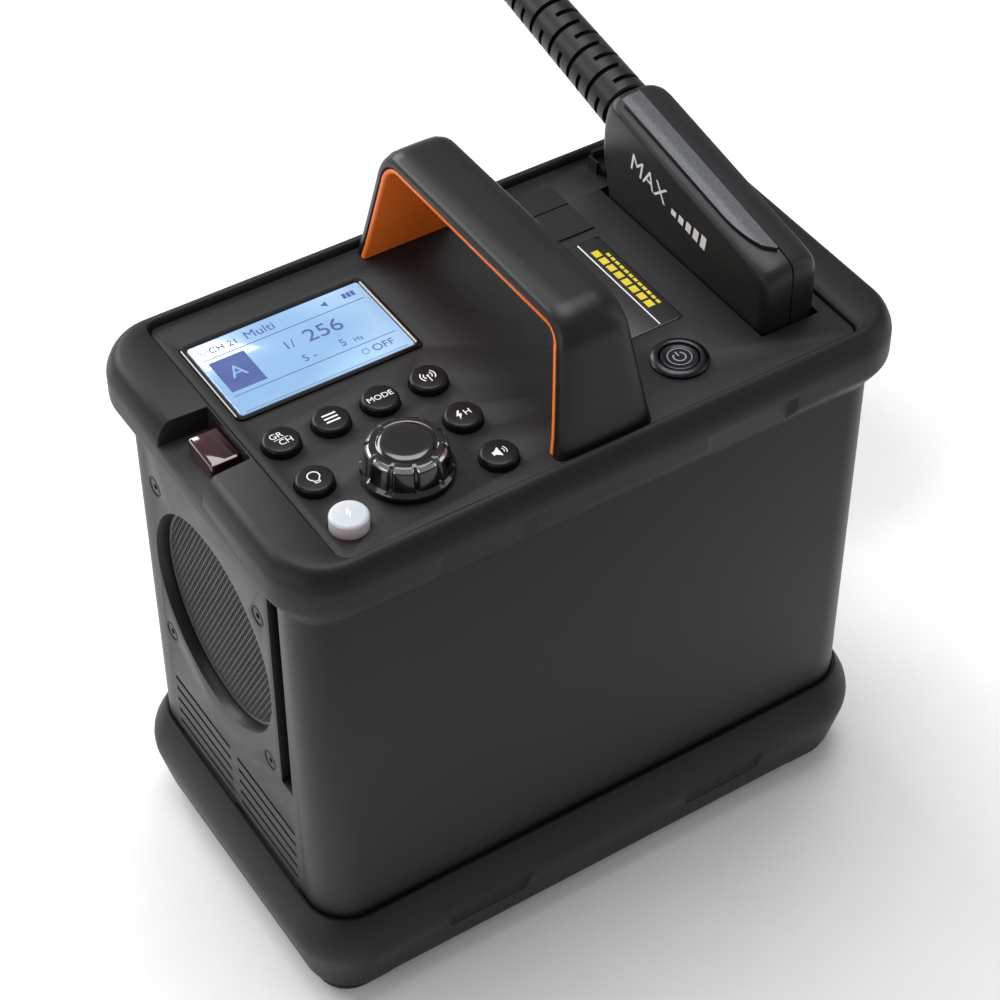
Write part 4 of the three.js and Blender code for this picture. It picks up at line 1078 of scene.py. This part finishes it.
# %% Switch
bezel_profile = [
    (8.5, 196), (8.5, 216.3), (10, 216.3), (10, 216.9), (9.7, 217.3), (8.3, 217.95), (7.7, 218),
    (7.1, 217.75), (6.9, 217.3), (6.9, 204),
]  # fmt: skip
make_piece(
    "switch_bezel", turned(bezel_profile, *POWER, 96), "pack", "aluminium", switch_finish,
    "power_bezel",
)  # fmt: skip
cap_profile = [
    (5.1, 206), (5.1, 211), (6.6, 211), (6.6, 217.2), (6.4, 217.45), (5.9, 217.6), (5.2, 217.5),
    (4.9, 217.4), (4.4, 217.35), (3, 217.35),
]  # fmt: skip
make_piece(
    "switch_cap", turned(cap_profile, *POWER, 96), "power_button", "panel_plastic",
    switch_finish, "power_cap",
)  # fmt: skip
x, y = POWER
sign = [
    stroke(arc(x, y, 4.1, 0, 350, 35), 0.35, 217.37, closed=True),
    stroke(arc(x, y, 2.1, 125, 415, 30), 0.55, 217.37),
    stroke([(x, y + 0.4), (x, y + 2.7)], 0.55, 217.37),
]
make_piece("switch_sign", together(*sign), "power_button", "aluminium", grey_ink)

# %% [markdown]
# ## The carry handle
#
# The handle is a broad moulded strap that stands on both long sides of the panel and narrows
# towards the hand. Its section is carried along a path of stations, each with a place and the
# way that its outer face looks. An orange liner follows the same path inside it.


# %% The handle's path
LEAN, HANDLE_HIGH, BEND = math.radians(11), 48.4, 13
HANDLE_TOP = PANEL_TOP + HANDLE_HIGH


def handle_stations():
    leg = (HANDLE_HIGH - BEND + BEND * math.sin(LEAN)) / math.cos(LEAN)
    centre = PANEL_Y - leg * math.sin(LEAN) - BEND * math.cos(LEAN)
    front = []
    for along in (0, leg * 0.2, leg * 0.4, leg * 0.6, leg * 0.8, leg * 0.94):
        y = -PANEL_Y + along * math.sin(LEAN)
        front.append((y, PANEL_TOP + along * math.cos(LEAN), math.pi - LEAN))
    for step in range(15):
        angle = math.pi - LEAN - step / 14 * (math.pi / 2 - LEAN)
        y = -centre + BEND * math.cos(angle)
        front.append((y, HANDLE_TOP - BEND + BEND * math.sin(angle), angle))
    front += [(-centre * share, HANDLE_TOP, math.pi / 2) for share in (0.8, 0.4)]
    back = [(-y, z, math.pi - angle) for y, z, angle in reversed(front)]
    return [*front, (0, HANDLE_TOP, math.pi / 2), *back]


def handle_half(z):
    up = min(max((z - PANEL_TOP) / HANDLE_HIGH, 0), 1)
    return 18.6 - 6.8 * up**0.9


def strap(section):
    outlines = []
    for y, z, angle in handle_stations():
        width = handle_half(z)
        outline = []
        for share, edge, depth in section:
            x = HANDLE_X + share * (width - edge)
            outline.append((x, y - depth * math.cos(angle), z - depth * math.sin(angle)))
        outlines.append(outline)
    foot = PANEL_TOP + 0.3
    for outline, lean in ((outlines[0], 1), (outlines[-1], -1)):
        for i, (x, y, z) in enumerate(outline):
            outline[i] = (x, y + lean * (foot - z) * math.tan(LEAN), foot)
    return skin(outlines)


# %% Handle shell and liner
outer = [(0, 0, 0), (0.35, 0, 0.04), (0.65, 0, 0.2), (1, 3.0, 0.75), (1, 1.5, 1.3), (1, 0.5, 2.2),
         (1, 0.1, 3.2), (1, 0, 4.3), (1, 0.4, 4.8)]  # fmt: skip
shell_section = [(-share, edge, depth) for share, edge, depth in outer]
shell_section += [(share, edge, depth) for share, edge, depth in reversed(outer[1:])]
handle = make_piece(
    "handle_strap", strap(shell_section), "pack", "panel_plastic", handle_finish, "handle_shell",
    edge=40,
)  # fmt: skip
liner_section = [
    (-1, 0.2, 5.1), (-1, 0.2, 6.2), (-1, 0.4, 6.7), (-1, 0.9, 7.0), (0, 0, 7.0), (1, 0.9, 7.0),
    (1, 0.4, 6.7), (1, 0.2, 6.2), (1, 0.2, 5.1),
]  # fmt: skip
liner = make_piece(
    "handle_liner_strip", strap(liner_section), "pack", "orange_rubber", liner_finish,
    "handle_liner", edge=40,
)  # fmt: skip
print("handle faces:", len(handle.data.polygons), "liner faces:", len(liner.data.polygons))

# %% [markdown]
# ## The plug
#
# The lead's plug is two moulded halves that meet at a seam, with a blasted metal inlay along
# the top of one. Each half is made of side outlines, from the seam outwards, and the outer
# ones are drawn in to round off the edge. `soften` rounds an outline's own corners.


# %% Plug outlines
def soften(outline, reach=4.0, steps=5):
    result = []
    count = len(outline)
    for i, corner in enumerate(outline):
        corner = Vector(corner)
        before, after = Vector(outline[i - 1]), Vector(outline[(i + 1) % count])
        start = corner + (before - corner) * min(reach / (before - corner).length, 0.45)
        end = corner + (after - corner) * min(reach / (after - corner).length, 0.45)
        for step in range(steps):
            t = step / (steps - 1)
            point = start * (1 - t) ** 2 + corner * 2 * t * (1 - t) + end * t**2
            result.append((point.x, point.y))
    return result


PLUG_FRONT, PLUG_BACK, PLUG_LOW, REACH = -48.8, 45.9, PANEL_TOP - 9.7, 11.3


def plug_outline(inset, drop):
    front, back = PLUG_FRONT + inset, PLUG_BACK - inset
    top_front, top_back = PANEL_TOP + 24.9 - drop, PANEL_TOP + 41.1 - drop
    corners = [
        (front, PLUG_LOW), (back - 1.5, PLUG_LOW), (back - 1.5, PANEL_TOP),
        (back + 2.8, PANEL_TOP + 16), (back + 2.4, PANEL_TOP + 28), (back + 0.6, top_back - 2.5),
        (back - 2.5, top_back), (front + 5, top_front + 0.9), (front + 1.4, top_front - 0.6),
        (front, top_front - 4),
    ]  # fmt: skip
    return soften(corners)


# A shape made along Z, turned so that it lies along the boot.
def along_boot(shape):
    points, faces = shape
    placed = []
    for x, y, z in points:
        up = boot_start.z + z * boot_way.z + y * boot_way.y
        placed.append((boot_start.x + x, boot_start.y + z * boot_way.y - y * boot_way.z, up))
    return placed, faces


# %% Plug halves
slices = [(0.15, 0.25, 0.25), (0.4, 0, 0), (3, 0, 0.15), (5.6, 0, 0.5), (7.6, 0.15, 1.1),
          (8.9, 0.5, 1.7), (9.8, 1.0, 2.1), (10.5, 1.7, 2.5), (11.0, 2.6, 3.1), (11.3, 3.8, 4.0)]  # fmt: skip
for side, name in ((-1, "left"), (1, "right")):
    outlines = []
    for out, inset, drop in slices:
        outlines.append([(PLUG_X + side * out, y, z) for y, z in plug_outline(inset, drop)])
    half = make_piece(
        "plug_half_" + name, skin(outlines), "pack",
        "black_plastic" if side < 0 else "panel_plastic", plug_finish, "plug_shell_" + name,
        edge=40,
    )  # fmt: skip
    carve(half, along_boot(turned([(6.3, -8.3), (6.3, 12)], sides=48)))
    shade(half, 40)

# %% The metal inlay on the plug
slope = (41.1 - 24.9) / (PLUG_BACK - PLUG_FRONT - 7.5)
inlay_outlines = []
for step in range(25):
    y = PLUG_FRONT + 8 + (PLUG_BACK - 6 - PLUG_FRONT - 8) * step / 24
    nose = min((y - PLUG_FRONT - 8) / 22, 1)
    wide = 1.6 + 6.8 * math.sqrt(1 - (1 - nose) ** 2)
    up = PANEL_TOP + 25.8 + slope * (y - PLUG_FRONT - 5) + 0.45
    top_side, low_side = [], []
    for k in range(9):
        out = 1 + (wide - 1) * k / 8
        fall = 0.3 * (out - 1) / 4.65 if out < 5.65 else 0.3 + 0.9 * ((out - 5.65) / 2.75) ** 1.5
        top_side.append((PLUG_X - out, y, up + 1.1 - fall))
        low_side.append((PLUG_X - out, y, up - fall))
    inlay_outlines.append(top_side + low_side[::-1])
make_piece(
    "plug_inlay_plate", skin(inlay_outlines), "pack", "aluminium", inlay_finish, "plug_inlay",
    edge=40,
)  # fmt: skip

# %% [markdown]
# ## The strain relief
#
# Where the lead meets the plug, a moulded PVC boot spreads its bending. Slots cut round it in
# staggered pairs let it curve. The boot is a tapered tube whose radius drops at each slot.

# %% Boot
RIB_PITCH, SLOT, SLOT_DEEP = 6.2, 1.9, 1.9
ribs = int(boot_length / RIB_PITCH) - 1


def boot_radius(angle, z):
    radius = 9.8 - 1.2 * max(z, 0) / boot_length
    ring = (z - 4) / RIB_PITCH
    index = math.floor(ring + 1e-6)
    if not 0 <= index < ribs or (ring - index) * RIB_PITCH > SLOT + 1e-6:
        return radius
    middle = 45 + 90 * (index % 2)
    off = abs((math.degrees(angle) - middle + 90) % 180 - 90)
    return radius - SLOT_DEEP * min(max((66 - off) / 5, 0), 1)


levels = [-8, -0.01, 0, 0.6]
for index in range(ribs):
    low = 4 + index * RIB_PITCH
    levels += [low - 0.35, low - 0.01, low, low + SLOT, low + SLOT + 0.01, low + SLOT + 0.35]
levels += [boot_length - 1.2, boot_length - 0.4, boot_length]
boot_outlines = []
for z in levels:
    outline = []
    for i in range(144):
        angle = 2 * math.pi * i / 144
        radius = 6.0 if z < -0.005 else boot_radius(angle, z)
        if z in (0, boot_length):
            radius -= 0.7
        outline.append((radius * math.cos(angle), radius * math.sin(angle), z))
    boot_outlines.append(outline)
boot = make_piece(
    "lead_boot", along_boot(skin(boot_outlines)), "pack", "black_rubber", boot_finish,
    "plug_boot", edge=30,
)  # fmt: skip
print("boot ribs:", ribs, "faces:", len(boot.data.polygons))


# %% [markdown]
# ## Small parts on the panel
#
# The label plate carries only a line and plain dashes here. The plug's side has one plain word
# and a row of level bars, because the plug takes the pack's full output. The sensor's window
# is a small block of dark acrylic with rounded edges.


# %% Label, sensor window and plug print
label_outlines = [
    rounded(13.85, 25.5, 2.2, PANEL_TOP - 0.3, 41.35, -1),
    rounded(13.85, 25.5, 2.2, PANEL_TOP + 0.1, 41.35, -1),
    rounded(13.75, 25.4, 2.1, PANEL_TOP + 0.15, 41.35, -1),
]
make_piece(
    "label", skin(label_outlines), "pack", "black_plastic", label_finish, "label_plate"
)
LABEL_FACE = PANEL_TOP + 0.16
make_piece(
    "label_line", cuboid(46.2, 46.7, -25.5, 24, LABEL_FACE, LABEL_FACE + 0.03), "pack",
    "white_key", white_ink,
)  # fmt: skip
dashes = []
for column, (x0, x1, long, gap) in enumerate([(48.2, 51.0, 3.4, 1.1), (52.2, 53.4, 2.0, 0.7)]):
    y = -16.5
    while y + long < (21, 17)[column]:
        dashes.append(cuboid(x0, x1, y, y + long, LABEL_FACE, LABEL_FACE + 0.03))
        y += long + gap
make_piece("label_dashes", together(*dashes), "pack", "white_key", yellow_ink)

sensor_low, sensor_high = (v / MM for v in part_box("sensor_window"))
sx, sy = (sensor_low.x + sensor_high.x) / 2, (sensor_low.y + sensor_high.y) / 2
hx, hy = (sensor_high.x - sensor_low.x) / 2, (sensor_high.y - sensor_low.y) / 2
sensor_outlines = [
    rounded(hx, hy, 1.4, sensor_low.z, sx, sy),
    rounded(hx, hy, 1.4, sensor_high.z - 1.0, sx, sy),
    rounded(hx - 0.25, hy - 0.25, 1.2, sensor_high.z - 0.4, sx, sy),
    rounded(hx - 0.9, hy - 0.9, 0.8, sensor_high.z, sx, sy),
]
make_piece(
    "sensor_block", skin(sensor_outlines), "pack", "sensor", sensor_finish, "sensor_window"
)


# The print is drawn flat and then stood up on the plug's side, which looks along -X.
def on_plug_side(shape, y, z, lean):
    points, faces = shape
    placed = []
    for u, v, w in points:
        along = u * math.cos(lean) - v * math.sin(lean)
        up = u * math.sin(lean) + v * math.cos(lean)
        placed.append((PLUG_X - REACH - w, y - along, z + up))
    return placed, faces


side_print = [letters("MAX", 7.2, -11, 0, 0.02, 0.04)]
side_print += [cuboid(3.5 + 4.3 * k, 6.3 + 4.3 * k, -3.2, -0.8 + 0.8 * k, 0.02, 0.06) for k in range(5)]
make_piece(
    "plug_print", on_plug_side(together(*side_print), 8, PANEL_TOP + 20, -0.16), "pack",
    "white_key", white_ink,
)  # fmt: skip

# %% [markdown]
# ## Finishes for the pieces that keep their solid shape
#
# Feet, port cover, lever, fan, battery and everything inside already have their true shape,
# so they only need their finish. Each one's finish goes in the place of the plain one.

# %% Finishes by piece
finish_of = {
    "foot_": foot_finish, "port_cover": plug_finish, "port_door": plug_finish,
    "port_block": inlay_finish, "socket_block": handle_finish, "lock_lever": plug_finish,
    "fan_frame": handle_finish, "fan_rotor": handle_finish, "encoder_body": handle_finish,
    "encoder_shaft": steel_finish, "control_board": board_finish, "power_board": board_finish,
    "lcd_module": board_finish, "mid_shelf": steel_finish, "heat_sink": sink_finish,
    "capacitor_": can_finish, "transformer": wrap_finish, "battery_pack": battery_finish,
    "battery_latch": plug_finish, "output_harness": jacket_finish,
}  # fmt: skip
dressed = 0
for name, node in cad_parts.items():
    for start, finish in finish_of.items():
        if name.startswith(start):
            node.data.materials.clear()
            node.data.materials.append(finish)
            dressed += 1
print("solid pieces given a finish:", dressed)

# %% [markdown]
# ## Floor and light
#
# A plain pale floor and large soft lights, as on a product table. The long light behind the
# left edge draws the bright line on the bumper and handle, one from the right lifts the front
# wall, and a weak one over the camera opens the shadows.


# %% Floor
def soft_floor():
    mesh = bpy.data.meshes.new("floor")
    size = 6
    mesh.from_pydata([(-size, -size, 0), (size, -size, 0), (size, size, 0), (-size, size, 0)], [], [(0, 1, 2, 3)])
    floor = bpy.data.objects.new("floor", mesh)
    scene.collection.objects.link(floor)
    finish, tree, shader, place = new_finish("paper_sweep", Roughness=0.85)
    fibre = add(tree, "ShaderNodeTexNoise", {"Vector": place, "Scale": per_metre(25), "Detail": 3})
    colour = add(tree, "ShaderNodeValToRGB", {"Fac": fibre.outputs[0]})
    colour.color_ramp.elements[0].color = linear("#f4f4f4")
    colour.color_ramp.elements[1].color = linear("#fafafa")
    tree.links.new(colour.outputs[0], shader.inputs["Base Color"])
    mesh.materials.append(finish)


soft_floor()


# %% Lights
def soft_light(name, place, aim, wide, tall, watts):
    data = bpy.data.lights.new(name, "AREA")
    data.shape, data.size, data.size_y, data.energy = "RECTANGLE", wide, tall, watts
    light = bpy.data.objects.new(name, data)
    scene.collection.objects.link(light)
    light.location = place
    way = Vector(aim) - Vector(place)
    light.rotation_euler = way.to_track_quat("-Z", "Y").to_euler()


middle = (0, 0, 0.13)
soft_light("back_strip", (-0.5, 1.3, 0.9), (0, 0, 0.22), 1.4, 0.5, 20)
soft_light("right_panel", (1.5, -0.9, 0.7), middle, 0.9, 1.2, 4)
soft_light("left_panel", (-1.6, -0.2, 0.5), middle, 0.9, 0.9, 5)
soft_light("overhead", (0.1, 0.3, 1.7), middle, 1.2, 1.0, 20)

world = bpy.data.worlds.new("studio")
scene.world = world
world.use_nodes = True
backdrop = world.node_tree.nodes["Background"]
backdrop.inputs["Color"].default_value = (1, 1, 1, 1)
backdrop.inputs["Strength"].default_value = 0.35
